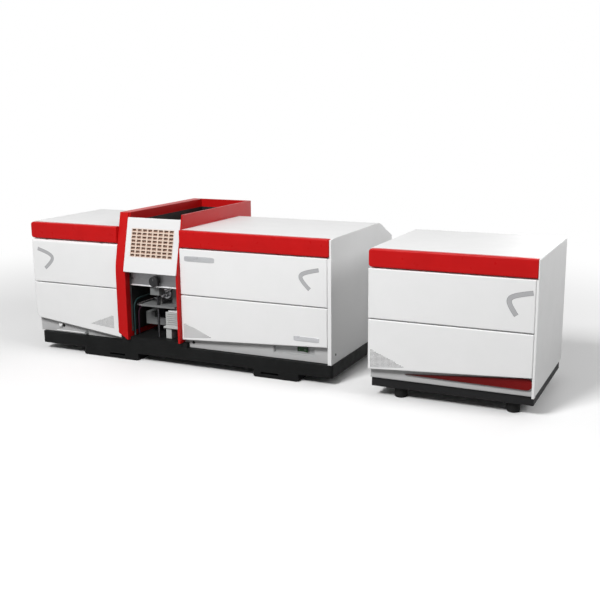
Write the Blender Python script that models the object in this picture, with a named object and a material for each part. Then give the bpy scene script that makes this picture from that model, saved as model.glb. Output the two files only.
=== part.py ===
"""Atomic absorption spectrometer with a flame tower between two cabinets, and the free-standing
power cabinet of its graphite furnace. Metres, +Z up, +Y from front to back, +X to the right.
The origin is on the table, under the middle of the whole set.
"""

import math

import bmesh
import bpy
from mathutils import Matrix, Vector

# Driving dimensions: lengths along X
MAIN_LENGTH = 1.026
LEFT_CABINET = 0.326
TOWER_WIDTH = 0.220
CABINET_GAP = 0.127
SUPPLY_WIDTH = 0.4345

# Driving dimensions: depths along Y
MAIN_DEPTH = 0.472
SUPPLY_DEPTH = 0.372
SUPPLY_FORWARD = 0.051
PANEL = 0.016
REAR_REACH = 0.016
TOWER_STEP = 0.043

# Driving dimensions: heights along Z
FOOT_DROP = 0.0223
BASE_HEIGHT = 0.036
CABINET_HEIGHT = 0.3517
TOWER_RISE = 0.0415
SUPPLY_FOOT_DROP = 0.0292
SUPPLY_BASE_HEIGHT = 0.0238
SUPPLY_HEIGHT = 0.3485
BAND_HEIGHT = 0.050
SUPPLY_BAND_HEIGHT = 0.048
UPPER_PANEL_HEIGHT = 0.1355
SUPPLY_UPPER_PANEL_HEIGHT = 0.1321

# Sheet, gaps and the light path
SHEET = 0.002
CLEAR = 0.0003
SHADOW_GAP = 0.003
CUT_OVERRUN = 0.010
OPTICAL_DEPTH = 0.200
OPTICAL_HEIGHT = 0.2517

# Places that follow from them
TOTAL_LENGTH = MAIN_LENGTH + CABINET_GAP + SUPPLY_WIDTH
TOTAL_DEPTH = SUPPLY_FORWARD + PANEL + MAIN_DEPTH + REAR_REACH
LEFT = -TOTAL_LENGTH / 2
RIGHT = LEFT + MAIN_LENGTH
TOWER_LEFT = LEFT + LEFT_CABINET + CLEAR
TOWER_RIGHT = TOWER_LEFT + TOWER_WIDTH
SUPPLY_LEFT = RIGHT + CABINET_GAP
SUPPLY_RIGHT = SUPPLY_LEFT + SUPPLY_WIDTH
FRONT = SUPPLY_FORWARD - TOTAL_DEPTH / 2
BODY_FRONT = FRONT + PANEL + CLEAR
BODY_BACK = FRONT + PANEL + MAIN_DEPTH
SUPPLY_FRONT = FRONT - SUPPLY_FORWARD
SUPPLY_BODY_FRONT = SUPPLY_FRONT + PANEL + CLEAR
SUPPLY_BACK = SUPPLY_FRONT + PANEL + SUPPLY_DEPTH
BASE_TOP = FOOT_DROP + BASE_HEIGHT
FLOOR = BASE_TOP + CLEAR
TOP = BASE_TOP + CABINET_HEIGHT
TOWER_TOP = TOP + TOWER_RISE
SUPPLY_BASE_TOP = SUPPLY_FOOT_DROP + SUPPLY_BASE_HEIGHT
SUPPLY_FLOOR = SUPPLY_BASE_TOP + CLEAR
SUPPLY_TOP = SUPPLY_BASE_TOP + SUPPLY_HEIGHT
BEAM_Y = FRONT + OPTICAL_DEPTH
BEAM_Z = BASE_TOP + OPTICAL_HEIGHT


def finish(name, colour, roughness, metallic=0.0):
    """A Principled material of one colour."""
    made = bpy.data.materials.new(name)
    made.use_nodes = True
    shader = made.node_tree.nodes["Principled BSDF"]
    shader.inputs["Base Color"].default_value = (*colour, 1.0)
    shader.inputs["Roughness"].default_value = roughness
    shader.inputs["Metallic"].default_value = metallic
    made.diffuse_color = (*colour, 1.0)
    return made


def block(mesh, low, high):
    """A box between two corners."""
    low, high = Vector(low), Vector(high)
    place = Matrix.Translation((low + high) / 2) @ Matrix.Diagonal((*(high - low), 1))
    bmesh.ops.create_cube(mesh, size=1, matrix=place)


def prism(mesh, outline, plane, start, stop):
    """A closed outline in a plane, extruded from start to stop along the axis across it."""

    def at(a, b, along):
        return {"YZ": (along, a, b), "XZ": (a, along, b), "XY": (a, b, along)}[plane]

    face = mesh.faces.new([mesh.verts.new(at(a, b, start)) for a, b in outline])
    grown = bmesh.ops.extrude_face_region(mesh, geom=[face])["geom"]
    moved = [item for item in grown if isinstance(item, bmesh.types.BMVert)]
    bmesh.ops.translate(mesh, vec=at(0, 0, stop - start), verts=moved)
    bmesh.ops.recalc_face_normals(mesh, faces=mesh.faces)


TURNS = {"X": Matrix.Rotation(math.pi / 2, 4, "Y"), "Y": Matrix.Rotation(-math.pi / 2, 4, "X"),
         "Z": Matrix.Identity(4)}


def rod(mesh, axis, centre, radius, start, stop, sides=24):
    """A round bar along an axis, from start to stop, through centre = the two other coordinates."""
    middle = (start + stop) / 2
    across = list(centre)
    across.insert("XYZ".index(axis), middle)
    bmesh.ops.create_cone(mesh, cap_ends=True, segments=sides, radius1=radius, radius2=radius,
                          depth=abs(stop - start), matrix=Matrix.Translation(across) @ TURNS[axis])


def turned(mesh, profile, axis, centre, sides=24):
    """Points (place along the axis, radius), from axis to axis, spun one full turn."""
    along = Vector(TURNS[axis].col[2][:3])
    across = Vector(TURNS[axis].col[0][:3])
    origin = list(centre)
    origin.insert("XYZ".index(axis), 0)
    origin = Vector(origin)
    points = [mesh.verts.new(origin + along * place + across * radius) for place, radius in profile]
    edges = [mesh.edges.new(pair) for pair in zip(points, points[1:])]
    bmesh.ops.spin(mesh, geom=points + edges, cent=origin, axis=along, angle=math.tau, steps=sides)
    bmesh.ops.remove_doubles(mesh, verts=mesh.verts, dist=CLEAR / 100)
    bmesh.ops.dissolve_degenerate(mesh, edges=mesh.edges, dist=CLEAR / 100)
    bmesh.ops.recalc_face_normals(mesh, faces=mesh.faces)


def arc(centre, radius, start, stop, steps):
    """Points of an arc, with its angles in degrees."""
    turn = [math.radians(start + (stop - start) * step / steps) for step in range(steps + 1)]
    return [(centre[0] + radius * math.cos(a), centre[1] + radius * math.sin(a)) for a in turn]


def rounded(low, high, radii, steps=4):
    """A rectangle with a radius for each corner, from low left anticlockwise; 0 keeps it sharp."""
    (a, b), (c, d) = low, high
    corners = ((a, b, 1, 1, 180), (c, b, -1, 1, 270), (c, d, -1, -1, 0), (a, d, 1, -1, 90))
    points = []
    for (x, y, inward_x, inward_y, start), radius in zip(corners, radii):
        if radius:
            centre = (x + inward_x * radius, y + inward_y * radius)
            points += arc(centre, radius, start, start + 90, steps)
        else:
            points.append((x, y))
    return points


def make(name, mesh, look, origin=(0, 0, 0), tilt=0.0):
    """One named piece. Its mesh is written round its origin, which lies on the axis of a moving piece."""
    data = bpy.data.meshes.new(name)
    mesh.to_mesh(data)
    mesh.free()
    data.materials.append(look)
    data.shade_smooth()
    data.set_sharp_from_angle(angle=math.radians(35))
    made = bpy.data.objects.new(name, data)
    bpy.context.scene.collection.objects.link(made)
    made.location = origin
    made.rotation_euler = (tilt, 0, 0)
    return made


def helper(name, mesh, parent):
    """A cutter or an added shape, which follows its piece and is left out of the model."""
    data = bpy.data.meshes.new(name)
    mesh.to_mesh(data)
    mesh.free()
    made = bpy.data.objects.new(name, data)
    bpy.context.scene.collection.objects.link(made)
    made.parent = parent
    made.hide_render = True
    made.display_type = "WIRE"
    return made


def cut(piece, mesh):
    change = piece.modifiers.new("cut", "BOOLEAN")
    change.operation = "DIFFERENCE"
    change.object = helper(piece.name + "_cutter", mesh, piece)


def join(piece, mesh):
    change = piece.modifiers.new("join", "BOOLEAN")
    change.operation = "UNION"
    change.use_self = True
    change.object = helper(piece.name + "_addition", mesh, piece)


def soften(piece, width, segments=2):
    """Rounds every sharp edge of a piece."""
    change = piece.modifiers.new("soften", "BEVEL")
    change.width = width
    change.segments = segments
    change.limit_method = "ANGLE"
    change.angle_limit = math.radians(30)


# The black base: a ribbed pan turned upside down, with the raised floor of the flame tower
BASE_INSET_LEFT = 0.017
BASE_BEYOND_RIGHT = 0.003
BASE_PLATE = 0.003
BASE_CORNER = 0.011
BASE_CELLS = 8
BAY_FLOOR_RISE = 0.0155
BAY_LIP_RISE = 0.0150
BAY_LIP_OVERLAP = 0.015
BAY_FLOOR = BASE_TOP + BAY_FLOOR_RISE
BASE_BACK_INSET = 0.006


def pan_cells(low, high, top, plate, cells, corner=0):
    """The cutter that leaves a pan with a plate on top, walls round it and ribs from front to back."""
    mesh = bmesh.new()
    pitch = (high[0] - low[0] - plate) / cells
    for cell in range(cells):
        start = low[0] + plate + cell * pitch
        left = max(corner - plate, 0) if cell == 0 else 0
        right = max(corner - plate, 0) if cell == cells - 1 else 0
        outline = rounded((start, low[1] + plate), (start + pitch - plate, high[1] - plate),
                          [left, right, right, left])
        prism(mesh, outline, "XY", -CUT_OVERRUN, top - plate)
    return mesh


def base_plinth():
    low = (LEFT + BASE_INSET_LEFT, FRONT)
    high = (RIGHT + BASE_BEYOND_RIGHT, BODY_BACK - BASE_BACK_INSET)
    mesh = bmesh.new()
    prism(mesh, rounded(low, high, [BASE_CORNER] * 4), "XY", FOOT_DROP, BASE_TOP)
    base = make("base_plinth", mesh, BLACK)
    raised = bmesh.new()
    block(raised, (TOWER_LEFT + CLEAR, FRONT + BASE_PLATE, BASE_TOP - BASE_PLATE),
          (TOWER_RIGHT - CLEAR, high[1] - BASE_PLATE, BAY_FLOOR))
    join(base, raised)
    lip = bmesh.new()
    block(lip, (TOWER_LEFT + BASE_PLATE, FRONT + CLEAR, BASE_TOP - BASE_PLATE),
          (TOWER_RIGHT + BAY_LIP_OVERLAP, BODY_FRONT - 2 * CLEAR, BASE_TOP + BAY_LIP_RISE))
    join(base, lip)
    cut(base, pan_cells(low, high, BASE_TOP, BASE_PLATE, BASE_CELLS, BASE_CORNER))
    hollow = bmesh.new()
    block(hollow, (TOWER_LEFT + 2 * BASE_PLATE, FRONT + 3 * BASE_PLATE, BASE_TOP - 2 * BASE_PLATE),
          (TOWER_RIGHT - 2 * BASE_PLATE, high[1] - 3 * BASE_PLATE, BAY_FLOOR - BASE_PLATE))
    cut(base, hollow)


# The feet: broad moulded blocks in front with a slot, and a screwed boss that reaches the pan's plate
FOOT_DEPTH = 0.055
FOOT_BOSS = 0.050
FOOT_ROUND = 0.006
FOOT_SLOT_WIDTH = 0.056
FOOT_SLOT_HEIGHT = 0.006
FOOT_SLOT_DEPTH = 0.012
FOOT_SLOT_RAISE = 0.0100
FOOT_REAR_INSET = 0.030
LEFT_FOOT_WIDTH = 0.2025
RIGHT_FOOT_WIDTH = 0.1425
LEFT_FOOT_START = 0.182
RIGHT_FOOT_END = 0.1005


def base_cell_middle(place):
    """The middle of the pan's cell that holds a place along X, where a boss has room."""
    start = LEFT + BASE_INSET_LEFT + BASE_PLATE
    pitch = (RIGHT + BASE_BEYOND_RIGHT - start) / BASE_CELLS
    return start + (math.floor((place - start) / pitch) + 0.5) * pitch - BASE_PLATE / 2


def foot(name, start, width, front, slot_share):
    mesh = bmesh.new()
    top = FOOT_DROP - CLEAR
    outline = rounded((start, 0), (start + width, top), [FOOT_ROUND, FOOT_ROUND, 0, 0], 3)
    prism(mesh, outline, "XZ", front, front + FOOT_DEPTH)
    piece = make(name, mesh, BLACK)
    boss = bmesh.new()
    middle = base_cell_middle(start + width * (1 - slot_share))
    depth = front + FOOT_DEPTH / 2
    reach = FOOT_DEPTH / 2 - BASE_PLATE - CLEAR
    block(boss, (middle - FOOT_BOSS / 2, depth - reach, top - FOOT_SLOT_HEIGHT),
          (middle + FOOT_BOSS / 2, depth + reach, BASE_TOP - BASE_PLATE - CLEAR))
    join(piece, boss)
    slot = bmesh.new()
    centre = start + width * slot_share
    block(slot, (centre - FOOT_SLOT_WIDTH / 2, front - CUT_OVERRUN, FOOT_SLOT_RAISE),
          (centre + FOOT_SLOT_WIDTH / 2, front + FOOT_SLOT_DEPTH, FOOT_SLOT_RAISE + FOOT_SLOT_HEIGHT))
    cut(piece, slot)


def feet():
    left_slot_share, right_slot_share = 0.62, 0.365
    rear = BODY_BACK - BASE_BACK_INSET - FOOT_REAR_INSET - FOOT_DEPTH
    left = LEFT + LEFT_FOOT_START
    right = RIGHT - RIGHT_FOOT_END - RIGHT_FOOT_WIDTH
    foot("foot_front_left", left, LEFT_FOOT_WIDTH, FRONT, left_slot_share)
    foot("foot_front_right", right, RIGHT_FOOT_WIDTH, FRONT, right_slot_share)
    foot("foot_rear_left", left, LEFT_FOOT_WIDTH, rear, left_slot_share)
    foot("foot_rear_right", right, RIGHT_FOOT_WIDTH, rear, right_slot_share)


# The sheet covers: folded from one sheet, open below, with a flat top that slopes down at the back
SLOPE_RUN = 0.1123
SLOPE_ANGLE = 25.6
SLOPE_ROUND = 0.088
FRONT_SHEET = 0.003
TOP_ROUND = 0.006


def cover_outline(front, back, bottom, top, inset):
    """Side view of a sloped cover, drawn in by inset. The bend is an arc that touches both faces."""
    angle = math.radians(SLOPE_ANGLE)
    radius = SLOPE_ROUND - inset
    centre_y = back - SLOPE_RUN - SLOPE_ROUND * math.tan(angle / 2)
    centre_z = top - SLOPE_ROUND
    bend = arc((centre_y, centre_z), radius, 90, 90 - SLOPE_ANGLE, 5)
    end_y, end_z = bend[-1]
    rear = back - inset
    low = end_z - (rear - end_y) * math.tan(angle)
    start = front + (FRONT_SHEET if inset else 0)
    return [(start, bottom), (start, top - inset), *bend, (rear, low), (rear, bottom)]


def main_cover(name, left, right):
    mesh = bmesh.new()
    prism(mesh, cover_outline(BODY_FRONT, BODY_BACK, FLOOR, TOP, 0), "YZ", left, right)
    cover = make(name, mesh, WHITE)
    inner = bmesh.new()
    prism(inner, cover_outline(BODY_FRONT, BODY_BACK, FLOOR - CUT_OVERRUN, TOP, SHEET), "YZ",
          left + SHEET, right - SHEET)
    cut(cover, inner)
    return cover


# The lamp door is hinged on two knuckles of the left cover, and the opening behind it gives on the lamps
KNUCKLE_INSET = 0.050
KNUCKLE_WIDTH = 0.012
KNUCKLE_RADIUS = 0.0030
PIN_RADIUS = 0.0012
LAMP_OPENING_SIDE = 0.022
LAMP_OPENING_LOW = 0.016
LAMP_OPENING_HIGH = 0.022
SEAM = TOP - BAND_HEIGHT - SHADOW_GAP - UPPER_PANEL_HEIGHT
UPPER_PANEL_TOP = TOP - BAND_HEIGHT - SHADOW_GAP
LAMP_DOOR_AXIS_Y = FRONT + PANEL / 2
LAMP_DOOR_AXIS_Z = UPPER_PANEL_TOP - PANEL / 2
LEFT_COVER_RIGHT = LEFT + LEFT_CABINET - CLEAR
KNUCKLES = (LEFT + KNUCKLE_INSET, LEFT_COVER_RIGHT - KNUCKLE_INSET - KNUCKLE_WIDTH)
LENS_HOLE = 0.022


def beam_hole(piece, left, right):
    """The hole for the light beam through the walls between left and right."""
    mesh = bmesh.new()
    rod(mesh, "X", (BEAM_Y, BEAM_Z), LENS_HOLE, left - CUT_OVERRUN, right + CUT_OVERRUN)
    cut(piece, mesh)


def left_housing():
    cover = main_cover("left_housing", LEFT, LEFT_COVER_RIGHT)
    opening = bmesh.new()
    block(opening, (LEFT + LAMP_OPENING_SIDE, BODY_FRONT - CUT_OVERRUN, SEAM + LAMP_OPENING_LOW),
          (LEFT_COVER_RIGHT - LAMP_OPENING_SIDE, BODY_FRONT + CUT_OVERRUN,
           UPPER_PANEL_TOP - LAMP_OPENING_HIGH))
    cut(cover, opening)
    beam_hole(cover, LEFT_COVER_RIGHT - SHEET, LEFT_COVER_RIGHT)
    for start in KNUCKLES:
        stop = start + KNUCKLE_WIDTH
        knuckle = bmesh.new()
        rod(knuckle, "X", (LAMP_DOOR_AXIS_Y, LAMP_DOOR_AXIS_Z), KNUCKLE_RADIUS, start, stop, 16)
        join(cover, knuckle)
        neck = bmesh.new()
        reach = KNUCKLE_RADIUS / 2
        bite = (PIN_RADIUS + KNUCKLE_RADIUS) / 2
        block(neck, (start, LAMP_DOOR_AXIS_Y + bite, LAMP_DOOR_AXIS_Z - reach),
              (stop, BODY_FRONT + FRONT_SHEET / 2, LAMP_DOOR_AXIS_Z + reach))
        join(cover, neck)
        bore = bmesh.new()
        rod(bore, "X", (LAMP_DOOR_AXIS_Y, LAMP_DOOR_AXIS_Z), PIN_RADIUS + CLEAR,
            start - CUT_OVERRUN, stop + CUT_OVERRUN, 12)
        cut(cover, bore)


# The side sheet of a cover is folded forward at the right, beside the ends of the panels
PANEL_END = 0.0114
BAND_END = 0.0060
SUPPLY_PANEL_END = 0.0066
FLANGE_BACK = 0.003


def side_flange(piece, right, width, front, bottom, top):
    mesh = bmesh.new()
    block(mesh, (right - width + CLEAR, front + FLANGE_BACK, bottom),
          (right, front + PANEL + FRONT_SHEET - CLEAR, top))
    join(piece, mesh)


# The right cover has a cut-out for the control tray, and its rear wall holds the fan and the sockets
RIGHT_COVER_LEFT = TOWER_RIGHT + CLEAR
TRAY_WIDTH = 0.130
TRAY_HEIGHT = 0.036
TRAY_RAISE = 0.0145
TRAY_FROM_RIGHT = 0.055
TRAY_LEFT = RIGHT - TRAY_FROM_RIGHT - TRAY_WIDTH
TRAY_LOW = BASE_TOP + TRAY_RAISE
FAN_SIDE = 0.092
FAN_BORE = 0.041
FAN_FROM_RIGHT = 0.085
FAN_RISE = 0.195
FAN_X = RIGHT - FAN_FROM_RIGHT
FAN_Z = BASE_TOP + FAN_RISE
INLET_FROM_RIGHT = 0.070
INLET_RISE = 0.055
INLET_X = RIGHT - INLET_FROM_RIGHT
INLET_Z = BASE_TOP + INLET_RISE
INLET_WIDTH = 0.046
INLET_HEIGHT = 0.027
GAS_HOLE = 0.007
GAS_PITCH = 0.035
GAS_PORTS = 3
GAS_FROM_LEFT = 0.085
GAS_X = RIGHT_COVER_LEFT + GAS_FROM_LEFT
GAS_Z = INLET_Z


def right_housing():
    cover = main_cover("right_housing", RIGHT_COVER_LEFT, RIGHT)
    side_flange(cover, RIGHT, PANEL_END, FRONT, FLOOR, UPPER_PANEL_TOP)
    side_flange(cover, RIGHT, BAND_END, FRONT, UPPER_PANEL_TOP - SHEET, TOP - SHEET)
    beam_hole(cover, RIGHT_COVER_LEFT, RIGHT_COVER_LEFT + SHEET)
    openings = bmesh.new()
    block(openings, (TRAY_LEFT, BODY_FRONT - CUT_OVERRUN, TRAY_LOW),
          (TRAY_LEFT + TRAY_WIDTH, BODY_FRONT + CUT_OVERRUN, TRAY_LOW + TRAY_HEIGHT))
    rod(openings, "Y", (FAN_X, FAN_Z), FAN_BORE, BODY_BACK - CUT_OVERRUN, BODY_BACK + CUT_OVERRUN, 32)
    block(openings, (INLET_X - INLET_WIDTH / 2, BODY_BACK - CUT_OVERRUN, INLET_Z - INLET_HEIGHT / 2),
          (INLET_X + INLET_WIDTH / 2, BODY_BACK + CUT_OVERRUN, INLET_Z + INLET_HEIGHT / 2))
    for port in range(GAS_PORTS):
        rod(openings, "Y", (GAS_X + port * GAS_PITCH, GAS_Z), GAS_HOLE,
            BODY_BACK - CUT_OVERRUN, BODY_BACK + CUT_OVERRUN, 16)
    cut(cover, openings)


# The moulded front panels and the red bands over them
PANEL_ROUND = 0.0018
BAND_ROUND = 0.009
BAND_STEP = 0.0015
LOWER_PANEL_RISE = 0.0255
LOWER_PANEL_SLANT = 0.025
LEFT_PANEL_INNER_RISE = 0.0095
LEFT_PANEL_OUTER_RISE = 0.0455
PANEL_CORNER_CUT = 0.008
PANEL_CORNER_RISE = 0.013


def front_panel(name, outline, front):
    mesh = bmesh.new()
    prism(mesh, outline, "XZ", front, front + PANEL)
    panel = make(name, mesh, WHITE)
    soften(panel, PANEL_ROUND)
    return panel


def red_band(name, left, right, front, step, top, height, radii):
    mesh = bmesh.new()
    prism(mesh, rounded((left, top - height), (right, top), radii), "XZ", front - step, front + PANEL)
    band = make(name, mesh, RED)
    soften(band, PANEL_ROUND)


def bands_and_panels():
    band_left = [BAND_ROUND, 0, 0, BAND_ROUND]
    red_band("left_red_band", LEFT, LEFT_COVER_RIGHT, FRONT, BAND_STEP, TOP, BAND_HEIGHT, band_left)
    red_band("right_red_band", RIGHT_COVER_LEFT, RIGHT - BAND_END, FRONT, BAND_STEP, TOP, BAND_HEIGHT,
             [0, BAND_END, BAND_END, 0])
    right_end = RIGHT - PANEL_END
    outline = [(RIGHT_COVER_LEFT, SEAM), (right_end, SEAM), (right_end, UPPER_PANEL_TOP),
               (RIGHT_COVER_LEFT, UPPER_PANEL_TOP)]
    front_panel("right_upper_panel", outline, FRONT)
    low = BASE_TOP + LOWER_PANEL_RISE
    high = SEAM - SHADOW_GAP
    outline = [(RIGHT_COVER_LEFT, low), (right_end, low + LOWER_PANEL_SLANT), (right_end, high),
               (RIGHT_COVER_LEFT, high)]
    front_panel("right_lower_panel", outline, FRONT)
    inner, outer = BASE_TOP + LEFT_PANEL_INNER_RISE, BASE_TOP + LEFT_PANEL_OUTER_RISE
    outline = [(LEFT, outer + PANEL_CORNER_RISE), (LEFT + PANEL_CORNER_CUT, outer),
               (LEFT_COVER_RIGHT, inner), (LEFT_COVER_RIGHT, high), (LEFT, high)]
    front_panel("left_lower_panel", outline, FRONT)


def lamp_door():
    """Swings up on the knuckles. Its top edge is a full round, so it turns under the band."""
    half = PANEL / 2
    drop = UPPER_PANEL_HEIGHT - half
    outline = [(half, -drop), (half, 0), *arc((0, 0), half, 0, 180, 8)[1:], (-half, -drop)]
    mesh = bmesh.new()
    left, right = LEFT - KNUCKLES[0], LEFT_COVER_RIGHT - KNUCKLES[0]
    prism(mesh, outline, "YZ", left, right)
    door = make("lamp_door", mesh, WHITE, (KNUCKLES[0], LAMP_DOOR_AXIS_Y, LAMP_DOOR_AXIS_Z))
    soften(door, PANEL_ROUND)
    pockets = bmesh.new()
    pins = bmesh.new()
    room = KNUCKLE_RADIUS + 2 * CLEAR
    for place in KNUCKLES:
        start = place - KNUCKLES[0] - 2 * CLEAR
        stop = start + KNUCKLE_WIDTH + 4 * CLEAR
        block(pockets, (start, -room, -room), (stop, half + CUT_OVERRUN, half + CUT_OVERRUN))
        rod(pins, "X", (0, 0), PIN_RADIUS, start - KNUCKLE_WIDTH / 4, stop + KNUCKLE_WIDTH / 4, 12)
    cut(door, pockets)
    join(door, pins)


# The control tray with its rocker switch
TRAY_WALL = 0.0015
TRAY_DEPTH = 0.009
ROCKER_WIDTH = 0.034
ROCKER_HEIGHT = 0.0135
ROCKER_FROM_RIGHT = 0.0394
ROCKER_RISE = 0.0025
ROCKER_TILT = 9.0
ROCKER_BODY = 0.007
BEZEL = 0.0022


def control_tray():
    low = (TRAY_LEFT + CLEAR, BODY_FRONT, TRAY_LOW + CLEAR)
    high = (TRAY_LEFT + TRAY_WIDTH - CLEAR, BODY_FRONT + TRAY_DEPTH, TRAY_LOW + TRAY_HEIGHT - CLEAR)
    mesh = bmesh.new()
    block(mesh, low, high)
    tray = make("control_tray", mesh, GREY)
    hollow = bmesh.new()
    block(hollow, (low[0] + TRAY_WALL, BODY_FRONT - CUT_OVERRUN, low[2] + TRAY_WALL),
          (high[0] - TRAY_WALL, high[1] - TRAY_WALL, high[2] - TRAY_WALL))
    cut(tray, hollow)
    centre_x = high[0] - ROCKER_FROM_RIGHT
    centre_z = (low[2] + high[2]) / 2
    half_w = ROCKER_WIDTH / 2 + 3 * CLEAR
    half_h = ROCKER_HEIGHT / 2 + 2 * CLEAR
    bezel = bmesh.new()
    floor = high[1] - TRAY_WALL
    block(bezel, (centre_x - half_w - BEZEL, floor - BEZEL, centre_z - half_h - BEZEL),
          (centre_x + half_w + BEZEL, floor + ROCKER_BODY, centre_z + half_h + BEZEL))
    join(tray, bezel)
    well = bmesh.new()
    block(well, (centre_x - half_w, floor - CUT_OVERRUN, centre_z - half_h),
          (centre_x + half_w, floor + ROCKER_BODY - TRAY_WALL, centre_z + half_h))
    cut(tray, well)
    rocker = bmesh.new()
    swing = math.tan(math.radians(ROCKER_TILT)) * ROCKER_WIDTH / 2
    half = ROCKER_WIDTH / 2
    face = -BEZEL - ROCKER_RISE
    back = BEZEL / 2
    outline = [(-half, face), (0, face + swing), (half, face), (half - swing, back), (swing - half, back)]
    prism(rocker, outline, "XY", -ROCKER_HEIGHT / 2, ROCKER_HEIGHT / 2)
    switch = make("power_switch", rocker, GREEN, (centre_x, floor + BEZEL / 2, centre_z))
    switch.rotation_euler = (0, 0, math.radians(-ROCKER_TILT))


# The red tower: a thick hollow left wall, a thin right wall and a back wall round the flame compartment
TOWER_PROUD = 0.0125
TOWER_FRONT = FRONT - TOWER_PROUD
TOWER_TILT = 13.4
KNEE_DROP = 0.1605
TOWER_KNEE = TOWER_TOP - KNEE_DROP
KNEE_ROUND = 0.170
LEFT_WALL = 0.034
RIGHT_WALL = 0.007
BACK_WALL = 0.008
TOWER_SKIN = 0.003
TOWER_FOOT = BAY_FLOOR + CLEAR
TOWER_BACK = BODY_BACK - TOWER_STEP
TOE_DROP = 0.008
CORNER_CUT = 0.0205
BAY_LEFT = TOWER_LEFT + LEFT_WALL
BAY_RIGHT = TOWER_RIGHT - RIGHT_WALL
DOOR_THICK = 0.005
DOOR_PROUD = 0.0005
DOOR_DROP = 0.014
DOOR_RUN = 0.1595
DOOR_HIGH = TOWER_TOP - DOOR_DROP
DOOR_LOW = DOOR_HIGH - DOOR_RUN
DOOR_OVER_LEFT = 0.0035
DOOR_OVER_RIGHT = 0.003
DOOR_LEFT = BAY_LEFT - DOOR_OVER_LEFT
DOOR_RIGHT = BAY_RIGHT + DOOR_OVER_RIGHT
VENT_PIN = 0.0013
TILT = math.radians(TOWER_TILT)


def slope_y(height):
    """Depth of the tower's tilted face at a height."""
    return TOWER_FRONT + (height - TOWER_KNEE) * math.tan(TILT)


VENT_AXIS_Z = DOOR_HIGH - DOOR_THICK / 2
VENT_AXIS_Y = slope_y(VENT_AXIS_Z) + DOOR_THICK / 2 - DOOR_PROUD


def tower_outline(inset, bottom):
    """Side view of the tower wall: upright below, an arc at the knee, then tilted back."""
    radius = KNEE_ROUND + inset
    reach = KNEE_ROUND * math.tan(TILT / 2)
    centre = (TOWER_FRONT + KNEE_ROUND + 2 * inset, TOWER_KNEE - reach)
    knee = arc(centre, radius, 180, 180 - TOWER_TILT, 5)
    top = TOWER_TOP - inset
    last_y, last_z = knee[-1]
    back = TOWER_BACK - inset
    return [(knee[0][0], bottom), *knee, (last_y + (top - last_z) * math.tan(TILT), top), (back, top),
            (back, bottom)]


def door_rebate(piece, left, right, room=0):
    """The step in a wall's front face in which the vent door lies."""
    depth = DOOR_THICK + 2 * CLEAR - DOOR_PROUD + room
    low, high = DOOR_LOW - CUT_OVERRUN / 2, TOWER_TOP + CUT_OVERRUN
    front = slope_y(low) - CUT_OVERRUN
    outline = [(front, low), (slope_y(low) + depth, low), (slope_y(high) + depth, high), (front, high)]
    mesh = bmesh.new()
    prism(mesh, outline, "YZ", left, right)
    cut(piece, mesh)


def pin_hole(piece, left, right):
    mesh = bmesh.new()
    rod(mesh, "X", (VENT_AXIS_Y, VENT_AXIS_Z), VENT_PIN + CLEAR, left, right, 12)
    cut(piece, mesh)


def tower_left_wall():
    mesh = bmesh.new()
    prism(mesh, tower_outline(0, TOWER_FOOT), "YZ", TOWER_LEFT, BAY_LEFT)
    wall = make("tower_left_wall", mesh, RED)
    inner = bmesh.new()
    prism(inner, tower_outline(2 * TOWER_SKIN, TOWER_FOOT - CUT_OVERRUN), "YZ",
          TOWER_LEFT + TOWER_SKIN, BAY_LEFT - DOOR_OVER_LEFT - TOWER_SKIN)
    cut(wall, inner)
    toe = bmesh.new()
    block(toe, (TOWER_LEFT, TOWER_FRONT, TOWER_FOOT - TOE_DROP),
          (BAY_LEFT, FRONT - CLEAR, TOWER_FOOT + TOWER_SKIN))
    join(wall, toe)
    corner = bmesh.new()
    low, high = TOWER_FOOT - TOE_DROP - CUT_OVERRUN, TOWER_FOOT - TOE_DROP + CORNER_CUT
    run = LEFT_WALL * (high - low) / CORNER_CUT
    prism(corner, [(TOWER_LEFT, high), (TOWER_LEFT - CUT_OVERRUN, high),
                   (TOWER_LEFT - CUT_OVERRUN, low), (TOWER_LEFT + run, low)],
          "XZ", TOWER_FRONT - CUT_OVERRUN, FRONT + CUT_OVERRUN)
    cut(wall, corner)
    door_rebate(wall, DOOR_LEFT - CLEAR, BAY_LEFT + CUT_OVERRUN)
    pin_hole(wall, DOOR_LEFT - DOOR_THICK, BAY_LEFT)
    beam_hole(wall, TOWER_LEFT, BAY_LEFT)


def tower_right_wall():
    mesh = bmesh.new()
    prism(mesh, tower_outline(0, TOWER_FOOT), "YZ", BAY_RIGHT, TOWER_RIGHT)
    wall = make("tower_right_wall", mesh, RED)
    door_rebate(wall, BAY_RIGHT - CUT_OVERRUN, DOOR_RIGHT + CLEAR)
    pin_hole(wall, BAY_RIGHT, TOWER_RIGHT + CUT_OVERRUN)
    beam_hole(wall, BAY_RIGHT, TOWER_RIGHT)


def tower_back_wall():
    mesh = bmesh.new()
    block(mesh, (BAY_LEFT + CLEAR, TOWER_BACK - BACK_WALL, TOWER_FOOT),
          (BAY_RIGHT - CLEAR, TOWER_BACK, TOWER_TOP))
    make("tower_back_wall", mesh, RED)


# The dark liner: one bent sheet round three sides of the flame compartment
LINER = 0.0015
LINER_RISE = 0.0167
LINER_DROP = 0.026
LINER_INSET = 0.0085
LINER_LOW = BAY_FLOOR + LINER_RISE
LINER_FRONT = FRONT + LINER_INSET
LINER_LIP = 0.006
LINER_HOLE = 0.024


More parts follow.
